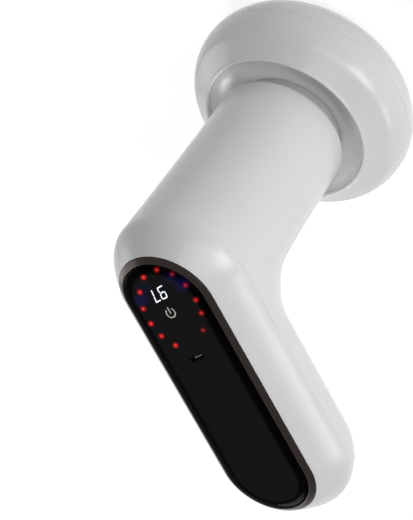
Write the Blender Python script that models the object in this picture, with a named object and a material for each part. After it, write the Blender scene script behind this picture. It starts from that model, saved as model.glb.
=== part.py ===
"""Handheld body massager, modelled head down. Metres, +Z up.

The neck stands upright on the massage head, and the handle leaves the neck's top towards -Y.
The origin is on the neck's axis, level with the tips of the massage nodes that the part stands on.
"""

import math

import bmesh
import bpy
from mathutils import Matrix, Vector

# Fits and cuts
GAP = 0.0003
OVERRUN = 0.003
LOOSE_BORE = 0.0003

# Housing form. Heights are stacked upwards from the node tips.
WALL = 0.0020
NODE_HEIGHT = 0.0070
RIM_LEAD = 0.0021
RIM_FRONT_LIP = 0.0020
EQUATOR_RISE = 0.0164
DISC_RADIUS = 0.0517
RIM_ROUNDING = 0.0207
CREASE_INSET = 0.0037
LIP_INSET = 0.0131
LIP_RISE = 0.0196
LIP_ROUNDING = 0.0010
LIP_TO_NECK = 0.0010
NECK_TAPER = 0.0030
SHOULDER_ROUNDING = 0.0045
NECK_LENGTH = 0.0998
SEAM_RADIUS = 0.0330
CELL_LENGTH = 0.0650
HANDLE_EXTRA_RUN = 0.0340
BACK_FLATTENING = 0.0060
INNER_FILLET = 0.0210
FILLET_FADE = 0.4
SEAM_DROP = 0.0167
NECK_FLARE_POWER = 1.5

# Front shell, trim and window
SHELL_EDGE_INSET = 0.0094
SHELL_EDGE_DROP = 0.0017
SHELL_SHOULDER_DROP = 0.0125
FLOOR_DROP = 0.0034
FLOOR_THICKNESS = 0.0018
BEZEL_SLOPE_DROP = 0.0013
BEZEL_CROWN = 0.0005
BEZEL_WIDTH = 0.0024
LENS_THICKNESS = 0.0020
LENS_CROWN = 0.0007
LENS_EDGE_WIDTH = 0.0042
LENS_EDGE_DROP = 0.0003
GASKET_WIDTH = 0.0015
GASKET_THICKNESS = 0.0006
WINDOW_MARGIN = 0.0024
WINDOW_END = 0.0336

# Controls and board
BOARD_ROOM = 0.0080
BOARD_THICKNESS = 0.0016
BOARD_DROP = 0.0076
BOARD_END = 0.0336
STANDOFF_RADIUS = 0.0017
STANDOFF_INSET = 0.0023
STANDOFF_FIRST_Y = -0.0020
STANDOFF_SECOND_Y = -0.0290
LIGHT_TURN_SHARES = (0.008, 0.062, 0.128, 0.197, 0.277, 0.370, 0.451, 0.522, 0.585, 0.647, 0.719, 0.933)
LIGHT_WIDTH = 0.0030
LIGHT_HEIGHT = 0.0017
OVAL_CENTRE_X = 0.0003
OVAL_CENTRE_Y = -0.0041
OVAL_END_OVERHANG = 0.0016
OVAL_SIDE_INSET = 0.0057
OVAL_LEAN = math.radians(16.5)
DISPLAY_SIDE_ROOM = 0.0057
DISPLAY_FILL_SHARE = 0.84
DISPLAY_END_ROOM = 0.0119
DISPLAY_TO_KEY = 0.0022
DISPLAY_HEIGHT = 0.0026
DISPLAY_X = -0.0016
KEY_RADIUS = 0.0042
KEY_X = -0.0011
KEY_Y = -0.0064
KEY_REACH = 0.0001
PORT_LENGTH = 0.00894
PORT_WIDTH = 0.00326
PORT_WALL = 0.0003
PORT_DEPTH = 0.0050
PORT_Y = -0.0308
PORT_LEAN = math.radians(18.5)
PORT_RECESS = 0.0002
TONGUE_LENGTH = 0.0066
TONGUE_WIDTH = 0.0007
TONGUE_RECESS = 0.0010

# Battery
CELL_SIDE_ROOM = 0.0113
CELL_WEB = 0.0020
CELL_START_Y = -0.0420
TRAY_ROOM = 0.0037
TRAY_WALL = 0.0012
CHARGE_BOARD_WIDTH = 0.0240
CHARGE_BOARD_LENGTH = 0.0440
CHARGE_BOARD_THICKNESS = 0.0012
CHARGE_BOARD_MARGIN = 0.0080

# Handle screws and their bosses
BOSS_RADIUS = 0.0030
UPPER_SCREW_Y = -0.0375
LOWER_SCREW_SHARE = 0.424
BOSS_TURN = math.radians(6)
SCREW_RADIUS = 0.0015
SCREW_HEAD_RADIUS = 0.0026
SCREW_HEAD_HEIGHT = 0.0008
SHELL_SCREW_BITE = 0.0120

# Drive
SUN_TEETH = 12
PLANET_TEETH = 18
RING_TEETH = 48
PLANET_COUNT = 3
PRESSURE_ANGLE = math.radians(20)
TOOTH_THICKNESS_SHARE = 0.45
ADDENDUM_SHARE = 0.85
DEDENDUM_SHARE = 1.25
GEAR_FACE = 0.0096
CASE_INSET = 0.0045
CASE_WALL = 0.0040
CASE_ROOF = 0.0030
CASE_HEADROOM = 0.0030
CASE_NOSE_BORE = 0.0065
COVER_INSET = 0.0055
COVER_THICKNESS = 0.0030
CARRIER_MARGIN = 0.0042
CARRIER_THICKNESS = 0.0028
PLANET_PIN_RADIUS = 0.0019
SPINDLE_RADIUS = 0.0050
SPINDLE_THREAD_DEPTH = 0.0080
BUSH_RADIUS = 0.0080
MOTOR_RADIUS = 0.0180
MOTOR_LENGTH = 0.0495
MOTOR_WALL = 0.0015
MOTOR_NOSE_RADIUS = 0.0060
MOTOR_NOSE_HEIGHT = 0.0015
MOTOR_NOSE_BORE = 0.0030
MOTOR_CAP_HEIGHT = 0.0032
ROTOR_RADIUS = 0.0145
ROTOR_LENGTH = 0.0340
ROTOR_LIFT = 0.0070
SHAFT_RADIUS = 0.0016

# Neck end, head cover and massage head
COLLAR_INSET = 0.0050
COLLAR_THICKNESS = 0.0057
RECESS_FLOOR_MARGIN = 0.0025
COVER_WALL = 0.0022
HEAD_SCREW_INSET = 0.0075
HEAD_SCREW_COUNT = 3
HEAD_SCREW_RADIUS = 0.0015
HEAD_SCREW_HEAD_RADIUS = 0.0028
HEAD_SCREW_HEAD_HEIGHT = 0.0020
RING_SPIGOT_HEIGHT = 0.0040
RING_SPIGOT_WALL = 0.0016
RING_SPIGOT_RELIEF = 0.0009
PLATE_INSET = 0.0133
PLATE_THICKNESS = 0.0042
PLATE_SKIRT_HEIGHT = 0.0040
PLATE_SKIRT_WALL = 0.0020
HUB_RADIUS = 0.0100
HUB_HEIGHT = 0.0160
HUB_FLOOR = 0.0027
SOCKET_WALL = 0.0030
SOCKET_HEIGHT = 0.0100
NODE_COUNT = 6
NODE_INSET = 0.0074
NODE_RADIUS = 0.0072
NODE_FLAT_RADIUS = 0.0020
NODE_STEM_RADIUS = 0.0025
NODE_STEM_LENGTH = 0.0036
CAP_RADIUS = 0.0085
CAP_FLAT_RADIUS = 0.0035
PLATE_SCREW_HEAD_RADIUS = 0.0045
PLATE_SCREW_HEAD_HEIGHT = 0.0017
PLATE_SCREW_RADIUS = 0.0015

# Wires
WIRE_RADIUS = 0.0007
WIRE_X = 0.0080
WIRE_SWAY = 0.0050
BATTERY_WIRE_Y = -0.0300

# Mesh density
COARSE_SIDES = 20
ROUND_SIDES = 36
FORM_POINTS = 24
STADIUM_STEPS = 12

# Widths and lengths worked out from the values above
NECK_END_RADIUS = SEAM_RADIUS - NECK_TAPER
BACK_DEPTH = SEAM_RADIUS - BACK_FLATTENING
HANDLE_RUN = HANDLE_EXTRA_RUN + CELL_LENGTH
LOWER_SCREW_Y = -HANDLE_RUN - SEAM_RADIUS * LOWER_SCREW_SHARE
CREASE_RADIUS = DISC_RADIUS - CREASE_INSET
LIP_RADIUS = DISC_RADIUS - LIP_INSET
PLATE_RADIUS = DISC_RADIUS - PLATE_INSET
NODE_CIRCLE = PLATE_RADIUS - NODE_INSET
SHELL_EDGE_RADIUS = SEAM_RADIUS - SHELL_EDGE_INSET
LENS_RADIUS = SHELL_EDGE_RADIUS - BEZEL_WIDTH - GAP * 3
BEZEL_INNER_RADIUS = LENS_RADIUS + GAP
BEZEL_RADIUS = BEZEL_INNER_RADIUS + BEZEL_WIDTH
BOARD_RADIUS = SEAM_RADIUS - WALL - BOARD_ROOM
STANDOFF_X = BOARD_RADIUS - STANDOFF_INSET
OVAL_LONG = LENS_RADIUS + OVAL_END_OVERHANG
OVAL_SHORT = LENS_RADIUS - OVAL_SIDE_INSET
DISPLAY_LENGTH = 2 * DISPLAY_FILL_SHARE * (OVAL_SHORT - DISPLAY_SIDE_ROOM)
DISPLAY_WIDTH = OVAL_LONG - DISPLAY_END_ROOM
DISPLAY_Y = KEY_Y + KEY_RADIUS + DISPLAY_TO_KEY + DISPLAY_WIDTH / 2
CELL_RADIUS = (SEAM_RADIUS - WALL - CELL_SIDE_ROOM - GAP - CELL_WEB / 2) / 2
CELL_X = CELL_RADIUS + GAP + CELL_WEB / 2
CELL_DROP = BACK_DEPTH - WALL - TRAY_ROOM - TRAY_WALL - GAP - CELL_RADIUS
CASE_RADIUS = NECK_END_RADIUS - CASE_INSET
COVER_RADIUS = NECK_END_RADIUS - COVER_INSET
COLLAR_RADIUS = NECK_END_RADIUS - COLLAR_INSET
RECESS_FLOOR_RADIUS = COLLAR_RADIUS + RECESS_FLOOR_MARGIN
HEAD_SCREW_CIRCLE = COVER_RADIUS - HEAD_SCREW_INSET
MODULE = (CASE_RADIUS - CASE_WALL) / (RING_TEETH / 2 + DEDENDUM_SHARE)
PLANET_CIRCLE = MODULE * (SUN_TEETH + PLANET_TEETH) / 2
CARRIER_RADIUS = PLANET_CIRCLE + CARRIER_MARGIN

# Heights worked out from the stack above
PLATE_FACE_Z = NODE_HEIGHT
RIM_FRONT_Z = PLATE_FACE_Z - RIM_LEAD
PLATE_BACK_Z = PLATE_FACE_Z + PLATE_THICKNESS
EQUATOR_Z = PLATE_FACE_Z + EQUATOR_RISE
LIP_Z = EQUATOR_Z + LIP_RISE
NECK_END_Z = LIP_Z + LIP_TO_NECK
NECK_FLOOR_Z = NECK_END_Z + WALL
SEAM_Z = NECK_END_Z + NECK_LENGTH
LENS_Z = SEAM_Z + SEAM_DROP
FLOOR_Z = LENS_Z - FLOOR_DROP
FLOOR_UNDER_Z = FLOOR_Z - FLOOR_THICKNESS
BOARD_TOP_Z = LENS_Z - BOARD_DROP
BOARD_UNDER_Z = BOARD_TOP_Z - BOARD_THICKNESS
COLLAR_TOP_Z = NECK_END_Z - GAP
COLLAR_UNDER_Z = COLLAR_TOP_Z - COLLAR_THICKNESS
RECESS_FLOOR_Z = COLLAR_UNDER_Z - GAP
RECESS_UNDER_Z = RECESS_FLOOR_Z - COVER_WALL
COVER_UNDER_Z = NECK_FLOOR_Z + GAP
COVER_TOP_Z = COVER_UNDER_Z + COVER_THICKNESS
CASE_UNDER_Z = COVER_TOP_Z + GAP
CARRIER_UNDER_Z = CASE_UNDER_Z + GAP
CARRIER_TOP_Z = CARRIER_UNDER_Z + CARRIER_THICKNESS
GEAR_UNDER_Z = CARRIER_TOP_Z + GAP
GEAR_TOP_Z = GEAR_UNDER_Z + GEAR_FACE
CASE_ROOF_Z = GEAR_TOP_Z + CASE_HEADROOM
CASE_TOP_Z = CASE_ROOF_Z + CASE_ROOF
MOTOR_UNDER_Z = CASE_TOP_Z + GAP
MOTOR_TOP_Z = MOTOR_UNDER_Z + MOTOR_LENGTH
MOTOR_CAP_TOP_Z = MOTOR_TOP_Z + GAP + MOTOR_CAP_HEIGHT
HUB_UNDER_Z = PLATE_BACK_Z + GAP
SPINDLE_END_Z = HUB_UNDER_Z + HUB_FLOOR + GAP
LENS_UNDER_Z = LENS_Z - LENS_THICKNESS
CELL_Z = SEAM_Z - CELL_DROP


def clear_scene():
    for obj in list(bpy.data.objects):
        bpy.data.objects.remove(obj, do_unlink=True)


def make_collection(name, helper=False):
    collection = bpy.data.collections.new(name)
    bpy.context.scene.collection.children.link(collection)
    collection.hide_render = helper
    return collection


def material(name, colour, roughness, metallic=0.0):
    made = bpy.data.materials.new(name)
    made.use_nodes = True
    shader = made.node_tree.nodes["Principled BSDF"]
    shader.inputs["Base Color"].default_value = (*colour, 1)
    shader.inputs["Roughness"].default_value = roughness
    shader.inputs["Metallic"].default_value = metallic
    return made


def place(mesh, name, collection, look=None, smooth=True):
    obj = bpy.data.objects.new(name, mesh)
    collection.objects.link(obj)
    if look:
        mesh.materials.append(look)
    if smooth:
        mesh.shade_smooth()
        mesh.set_sharp_from_angle(angle=math.radians(35))
    if collection.hide_render:
        obj.hide_render = True
        obj.display_type = "WIRE"
    return obj


def mesh_from(bm, name):
    bmesh.ops.remove_doubles(bm, verts=bm.verts, dist=GAP / 100)
    bmesh.ops.recalc_face_normals(bm, faces=bm.faces)
    if bm.calc_volume(signed=True) < 0:
        bmesh.ops.reverse_faces(bm, faces=bm.faces)
    mesh = bpy.data.meshes.new(name)
    bm.to_mesh(mesh)
    bm.free()
    return mesh


def turned_mesh(name, outline, sides):
    """Turns a closed outline of (radius, height) points about Z."""
    bm = bmesh.new()
    verts = [bm.verts.new((radius, 0, height)) for radius, height in outline]
    edges = [bm.edges.new(pair) for pair in zip(verts, verts[1:] + verts[:1])]
    bmesh.ops.spin(
        bm, geom=verts + edges, cent=(0, 0, 0), axis=(0, 0, 1), angle=math.tau, steps=sides, use_merge=True
    )
    on_axis = [face for face in bm.faces if all(abs(v.co.x) + abs(v.co.y) < GAP / 100 for v in face.verts)]
    bmesh.ops.delete(bm, geom=on_axis, context="FACES_ONLY")
    loose = [edge for edge in bm.edges if not edge.link_faces]
    bmesh.ops.delete(bm, geom=loose, context="EDGES")
    return mesh_from(bm, name)


def turned(name, outline, look, collection, sides=COARSE_SIDES, at=(0, 0, 0)):
    obj = place(turned_mesh(name, outline, sides), name, collection, look)
    obj.location = at
    return obj


def disc(radius, low, high, bore=0.0):
    """Outline of a plain disc or ring for turning."""
    return [(bore, high), (radius, high), (radius, low), (bore, low)]


def arc(centre, radius, start, end, steps):
    """Points round an arc in any plane, start and end in degrees."""
    angles = [math.radians(start + (end - start) * step / steps) for step in range(steps + 1)]
    return [(centre[0] + radius * math.cos(a), centre[1] + radius * math.sin(a)) for a in angles]


def prism_mesh(name, outlines, low, high):
    """A flat piece from an outer outline and any hole outlines, between two heights."""
    curve = bpy.data.curves.new(name, "CURVE")
    curve.dimensions = "2D"
    curve.fill_mode = "BOTH"
    curve.extrude = (high - low) / 2
    for outline in outlines:
        spline = curve.splines.new("POLY")
        spline.points.add(len(outline) - 1)
        for point, (x, y) in zip(spline.points, outline):
            point.co = (x, y, 0, 1)
        spline.use_cyclic_u = True
    guide = bpy.data.objects.new(name, curve)
    bpy.context.scene.collection.objects.link(guide)
    graph = bpy.context.evaluated_depsgraph_get()
    mesh = bpy.data.meshes.new_from_object(guide.evaluated_get(graph))
    bpy.data.objects.remove(guide, do_unlink=True)
    bm = bmesh.new()
    bm.from_mesh(mesh)
    bpy.data.meshes.remove(mesh)
    bmesh.ops.translate(bm, verts=bm.verts, vec=(0, 0, (low + high) / 2))
    return mesh_from(bm, name)


def prism(name, outlines, low, high, look, collection):
    return place(prism_mesh(name, outlines, low, high), name, collection, look)


def box(name, low, high, look, collection):
    bm = bmesh.new()
    bmesh.ops.create_cube(bm, size=1)
    size = Vector(high) - Vector(low)
    bmesh.ops.scale(bm, vec=size, verts=bm.verts)
    bmesh.ops.translate(bm, vec=(Vector(low) + Vector(high)) / 2, verts=bm.verts)
    return place(mesh_from(bm, name), name, collection, look, smooth=False)


def stadium_swept(name, outline, look, collection, closed):
    """Sweeps a (radius, height) outline, listed down the outer side, round the handle's slot shape."""
    bm = bmesh.new()
    rows = []
    for half, start in ((0, 0), (-HANDLE_RUN, 180)):
        for step in range(STADIUM_STEPS + 1):
            angle = math.radians(start + 180 * step / STADIUM_STEPS)
            rows.append(
                [
                    bm.verts.new((radius * math.cos(angle), half + radius * math.sin(angle), height))
                    for radius, height in outline
                ]
            )
    spans = len(outline) if closed else len(outline) - 1
    for row, following in zip(rows, rows[1:] + rows[:1]):
        for index in range(spans):
            further = (index + 1) % len(outline)
            bm.faces.new((row[index], row[further], following[further], following[index]))
    if not closed:
        bm.faces.new([row[0] for row in rows])
        bm.faces.new([row[-1] for row in rows])
    return place(mesh_from(bm, name), name, collection, look)


def modify(obj, operation, cutter, name):
    boolean = obj.modifiers.new(name, "BOOLEAN")
    boolean.operation = operation
    boolean.solver = "EXACT"
    boolean.object = cutter


def cut(obj, cutters):
    for cutter in cutters:
        modify(obj, "DIFFERENCE", cutter, "cut " + cutter.name)


def join(obj, additions):
    for addition in additions:
        modify(obj, "UNION", addition, "join " + addition.name)


def turned_places(count, circle, first=0.0):
    angles = [first + math.tau * index / count for index in range(count)]
    return [(circle * math.cos(angle), circle * math.sin(angle)) for angle in angles]


def neck_radius(height):
    """Half width of the neck, which flares a little from its end up to the seam."""
    share = min(max((height - NECK_END_Z) / NECK_LENGTH, 0.0), 1.0)
    return NECK_END_RADIUS + (SEAM_RADIUS - NECK_END_RADIUS) * share**NECK_FLARE_POWER


def elbow_pivot():
    """The line across X that the inner fillet between neck and handle bends round, as (y, z)."""
    height = SEAM_Z - BACK_DEPTH - INNER_FILLET
    return -neck_radius(height) - INNER_FILLET, height


def ring_angles():
    return [math.tau * index / FORM_POINTS for index in range(FORM_POINTS)]


def neck_ring(height, radius):
    return [(radius * math.sin(a), -radius * math.cos(a), height) for a in ring_angles()]


def elbow_reach(angle, down, half_width, inset):
    """How far from the pivot the elbow's surface lies: two straight walls and the fillet that joins them."""
    pivot_y, pivot_z = elbow_pivot()
    wall_y = -pivot_y - half_width * down
    wall_z = SEAM_Z - pivot_z - (BACK_DEPTH - inset) * down
    rounding = (INNER_FILLET + inset) * down**FILLET_FADE
    ahead = Vector((math.cos(angle), math.sin(angle)))
    if ahead.y * wall_y <= ahead.x * (wall_z - rounding):
        return wall_y / ahead.x
    if ahead.x * wall_z <= ahead.y * (wall_y - rounding):
        return wall_z / ahead.y
    centre = Vector((wall_y - rounding, wall_z - rounding))
    along = centre.dot(ahead)
    return along + math.sqrt(max(along**2 - centre.length_squared + rounding**2, 0.0))


def elbow_ring(angle, inset, on_neck):
    """A ring in the plane through the pivot at this angle: 0 is level, 90 degrees is upright."""
    pivot_y, pivot_z = elbow_pivot()
    ahead = Vector((0, math.cos(angle), math.sin(angle)))
    widest = -pivot_y / ahead.y if on_neck else (SEAM_Z - pivot_z) / ahead.z
    widest_z = pivot_z + widest * math.sin(angle)
    half_width = neck_radius(widest_z) - inset
    points = []
    for a in ring_angles():
        inner = math.cos(a) > -GAP
        if inner or not on_neck:
            reach = widest - OVERRUN * math.cos(a)
            if inner:
                reach = elbow_reach(angle, max(math.cos(a), 0.0), half_width, inset)
            points.append((half_width * math.sin(a), pivot_y + ahead.y * reach, pivot_z + ahead.z * reach))
            continue
        y = half_width
        for _ in range(4):
            z = pivot_z + (y - pivot_y) * math.tan(angle)
            radius = neck_radius(z) - inset
            y = -radius * math.cos(a)
        points.append((radius * math.sin(a), y, z))
    return points


def handle_ring(y, share, inset):
    """An upright ring of the handle, its width and depth scaled by the share."""
    half_width = (SEAM_RADIUS - inset) * share
    depth = (BACK_DEPTH - inset) * share
    points = []
    for a in ring_angles():
        drop = depth if math.cos(a) > -GAP else OVERRUN
        points.append((half_width * math.sin(a), y, SEAM_Z - drop * math.cos(a)))
    return points


def rear_form(name, inset, low_rings):
    """The outer or the inner surface of neck and back, running a little above the seam."""
    pivot_y, pivot_z = elbow_pivot()
    rings = list(low_rings)
    neck_top = pivot_z
    lowest = rings[-1][0][2]
    neck_steps = 5
    rings += [
        neck_ring(z, neck_radius(z) - inset)
        for z in [lowest + (neck_top - lowest) * step / neck_steps for step in range(1, neck_steps + 1)]
    ]
    corner = math.atan2(SEAM_Z - pivot_z, -pivot_y)
    elbow_steps = 6
    rings += [elbow_ring(corner * step / elbow_steps, inset, True) for step in range(1, elbow_steps + 1)]
    left = math.pi / 2 - corner
    rings += [elbow_ring(corner + left * step / elbow_steps, inset, False) for step in range(1, elbow_steps)]
    rings.append(handle_ring(pivot_y, 1.0, inset))
    end_steps = 7
    for step in range(end_steps + 1):
        turn = math.pi / 2 * step / end_steps
        share = math.cos(turn) if step < end_steps else 0.0
        rings.append(handle_ring(-HANDLE_RUN - (SEAM_RADIUS - inset) * math.sin(turn), share, inset))
    bm = bmesh.new()
    rows = [[bm.verts.new(point) for point in ring] for ring in rings]
    for row, following in zip(rows, rows[1:]):
        for index in range(FORM_POINTS):
            further = (index + 1) % FORM_POINTS
            bm.faces.new((row[index], row[further], following[further], following[index]))
    bm.faces.new(list(reversed(rows[0])))
    bmesh.ops.remove_doubles(bm, verts=bm.verts, dist=GAP / 100)
    bmesh.ops.dissolve_degenerate(bm, edges=bm.edges, dist=GAP / 100)
    return mesh_from(bm, name)


def boss_cutters(low, high, radius, prefix, cutters):
    made = []
    for place_name, y in (("upper", UPPER_SCREW_Y), ("lower", LOWER_SCREW_Y)):
        cylinder = turned(prefix + place_name, disc(radius, low, high), None, cutters, 16, (0, y, 0))
        cylinder.rotation_euler = (0, 0, BOSS_TURN * radius / BOSS_RADIUS)
        made.append(cylinder)
    return made


def make_rear_shell(parts, cutters, white):
    shoulder = arc(
        (NECK_END_RADIUS - SHOULDER_ROUNDING, NECK_END_Z + SHOULDER_ROUNDING), SHOULDER_ROUNDING, -90, 0, 4
    )
    outer = rear_form("rear_shell", 0.0, [neck_ring(z, r) for r, z in shoulder])
    shell = place(outer, "rear_shell", parts, white)
    above = box(
        "cut_above_seam",
        (-SEAM_RADIUS - OVERRUN, -HANDLE_RUN - SEAM_RADIUS - OVERRUN, SEAM_Z - GAP / 2),
        (SEAM_RADIUS + OVERRUN, SEAM_RADIUS + OVERRUN, LENS_Z + SEAM_RADIUS),
        None,
        cutters,
    )
    cut(shell, [above])
    inner_start = NECK_FLOOR_Z
    inner_low = [
        neck_ring(inner_start, NECK_END_RADIUS - SHOULDER_ROUNDING),
        neck_ring(inner_start + SHOULDER_ROUNDING - WALL, NECK_END_RADIUS - WALL),
    ]
    cavity = place(rear_form("cut_rear_cavity", WALL, inner_low), "cut_rear_cavity", cutters)
    cut(cavity, boss_cutters(NECK_END_Z, SEAM_Z + OVERRUN + OVERRUN, BOSS_RADIUS, "boss_rear_", cutters))
    cut(shell, [cavity])
    bite_low = SEAM_Z - SHELL_SCREW_BITE - GAP
    cut(shell, boss_cutters(bite_low, SEAM_Z + OVERRUN, SCREW_RADIUS + LOOSE_BORE, "bore_rear_", cutters))
    bore = disc(BUSH_RADIUS + GAP, NECK_END_Z - OVERRUN, COVER_TOP_Z)
    cut(shell, [turned("bore_neck_end", bore, None, cutters)])
    cut(shell, head_screw_bores("bore_neck_floor_", NECK_END_Z - OVERRUN, COVER_UNDER_Z + OVERRUN, cutters))


def head_screw_bores(prefix, low, high, cutters):
    places = turned_places(HEAD_SCREW_COUNT, HEAD_SCREW_CIRCLE, math.pi / 2)
    bore = disc(HEAD_SCREW_RADIUS + LOOSE_BORE, low, high)
    return [
        turned(prefix + str(index + 1), bore, None, cutters, 12, (x, y, 0))
        for index, (x, y) in enumerate(places)
    ]


def shell_curve(inset):
    """Half section of the front shell from the trim down to the seam, as (radius, height) points."""
    start = Vector((SHELL_EDGE_RADIUS, LENS_Z - SHELL_EDGE_DROP))
    bend = Vector((SEAM_RADIUS, LENS_Z - SHELL_SHOULDER_DROP))
    end = Vector((SEAM_RADIUS, SEAM_Z))
    steps = 7
    points = []
    for step in range(steps + 1):
        t = step / steps
        point = start * (1 - t) ** 2 + bend * 2 * t * (1 - t) + end * t**2
        along = ((bend - start) * (1 - t) + (end - bend) * t).normalized()
        points.append(point + Vector((along.y, -along.x)) * inset)
    return points


def make_front_shell(parts, cutters, white):
    outer = [tuple(point) for point in shell_curve(0.0)]
    outer[-1] = (SEAM_RADIUS, SEAM_Z + GAP / 2)
    inner = [tuple(point) for point in shell_curve(WALL) if point.y < FLOOR_UNDER_Z - GAP]
    inner[-1] = (SEAM_RADIUS - WALL, SEAM_Z + GAP / 2)
    inner_top_radius = inner[0][0] - (FLOOR_UNDER_Z - inner[0][1]) * (
        (inner[1][0] - inner[0][0]) / (inner[0][1] - inner[1][1])
    )
    profile = (
        [(SHELL_EDGE_RADIUS, FLOOR_Z)]
        + outer
        + list(reversed(inner))
        + [(inner_top_radius, FLOOR_UNDER_Z)]
    )
    wall = stadium_swept("front_shell", profile, white, parts, closed=True)
    floor_outline = [
        (inner_top_radius + WALL / 2, FLOOR_Z),
        (inner_top_radius + WALL / 2, FLOOR_UNDER_Z),
    ]
    floor = stadium_swept("join_front_floor", floor_outline, None, cutters, closed=False)
    join(wall, [floor])
    boss_low = SEAM_Z + GAP / 2
    bosses = boss_cutters(boss_low, FLOOR_Z - GAP, BOSS_RADIUS, "join_front_boss_", cutters)
    standoffs = [
        turned(
            "join_standoff_" + str(index + 1),
            disc(STANDOFF_RADIUS, BOARD_TOP_Z + GAP, FLOOR_Z - GAP),
            None,
            cutters,
            12,
            (x, y, 0),
        )
        for index, (x, y) in enumerate(standoff_places())
    ]
    join(wall, bosses + standoffs)
    window_radius = LENS_RADIUS - WINDOW_MARGIN
    window = disc(window_radius, FLOOR_UNDER_Z - OVERRUN / 2, FLOOR_Z + OVERRUN)
    window_round = turned("cut_window_round", window, None, cutters, ROUND_SIDES)
    window_run = box(
        "cut_window_run",
        (-window_radius, -WINDOW_END, FLOOR_UNDER_Z - OVERRUN / 2),
        (window_radius, 0, FLOOR_Z + OVERRUN),
        None,
        cutters,
    )
    cut(wall, [window_round, window_run])
    bore_radius = SCREW_RADIUS + LOOSE_BORE
    cut(wall, boss_cutters(SEAM_Z - OVERRUN, FLOOR_Z + OVERRUN, bore_radius, "bore_front_", cutters))


def standoff_places():
    return [(side * STANDOFF_X, y) for y in (STANDOFF_FIRST_Y, STANDOFF_SECOND_Y) for side in (-1, 1)]


def make_bezel_and_lens(parts, cutters, bronze, black_glass, rubber):
    bezel_under = FLOOR_Z + GAP
    bezel = [
        (BEZEL_INNER_RADIUS, LENS_Z),
        (BEZEL_INNER_RADIUS + BEZEL_CROWN, LENS_Z),
        (BEZEL_RADIUS, LENS_Z - BEZEL_SLOPE_DROP),
        (BEZEL_RADIUS, bezel_under),
        (BEZEL_INNER_RADIUS, bezel_under),
    ]
    stadium_swept("bezel_ring", bezel, bronze, parts, closed=True)
    crown_z = LENS_Z + LENS_CROWN
    edge_z = LENS_Z - LENS_EDGE_DROP
    steps = 3
    rounding = [
        (
            LENS_RADIUS - LENS_EDGE_WIDTH * (1 - math.sin(math.pi / 2 * step / steps)),
            edge_z + (crown_z - edge_z) * math.cos(math.pi / 2 * step / steps),
        )
        for step in range(steps + 1)
    ]
    lens = stadium_swept("lens", rounding + [(LENS_RADIUS, LENS_UNDER_Z)], black_glass, parts, closed=False)
    slot = prism(
        "cut_port_slot",
        [slot_outline(PORT_LENGTH / 2 + GAP, PORT_WIDTH / 2 + GAP)],
        LENS_UNDER_Z - OVERRUN,
        crown_z + OVERRUN,
        None,
        cutters,
    )
    cut(lens, [slot])
    gasket_top = LENS_UNDER_Z - GAP
    gasket = [
        (LENS_RADIUS - GASKET_WIDTH, gasket_top),
        (LENS_RADIUS, gasket_top),
        (LENS_RADIUS, gasket_top - GASKET_THICKNESS),
        (LENS_RADIUS - GASKET_WIDTH, gasket_top - GASKET_THICKNESS),
    ]
    stadium_swept("lens_gasket", gasket, rubber, parts, closed=True)


def leaned(points):
    """Points turned about the charging socket's middle to the slant of the photograph's slot."""
    middle = Vector((0, PORT_Y))
    turn = Matrix.Rotation(PORT_LEAN, 2)
    return [tuple(middle + turn @ (Vector(point) - middle)) for point in points]


def slot_outline(half_length, half_width):
    """A slanted slot with round ends, centred on the charging socket."""
    reach = half_length - half_width
    ends = arc((reach, PORT_Y), half_width, -90, 90, 5) + arc((-reach, PORT_Y), half_width, 90, 270, 5)
    return leaned(ends)


def oval_places():
    """Places for the lights round the leaning oval, measured from the photograph."""
    lean = Matrix.Rotation(-OVAL_LEAN, 2)
    centre = Vector((OVAL_CENTRE_X, OVAL_CENTRE_Y))
    turns = [math.tau * share for share in LIGHT_TURN_SHARES]
    on_oval = [Vector((OVAL_SHORT * math.cos(turn), OVAL_LONG * math.sin(turn))) for turn in turns]
    return [centre + lean @ point for point in on_oval]


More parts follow.
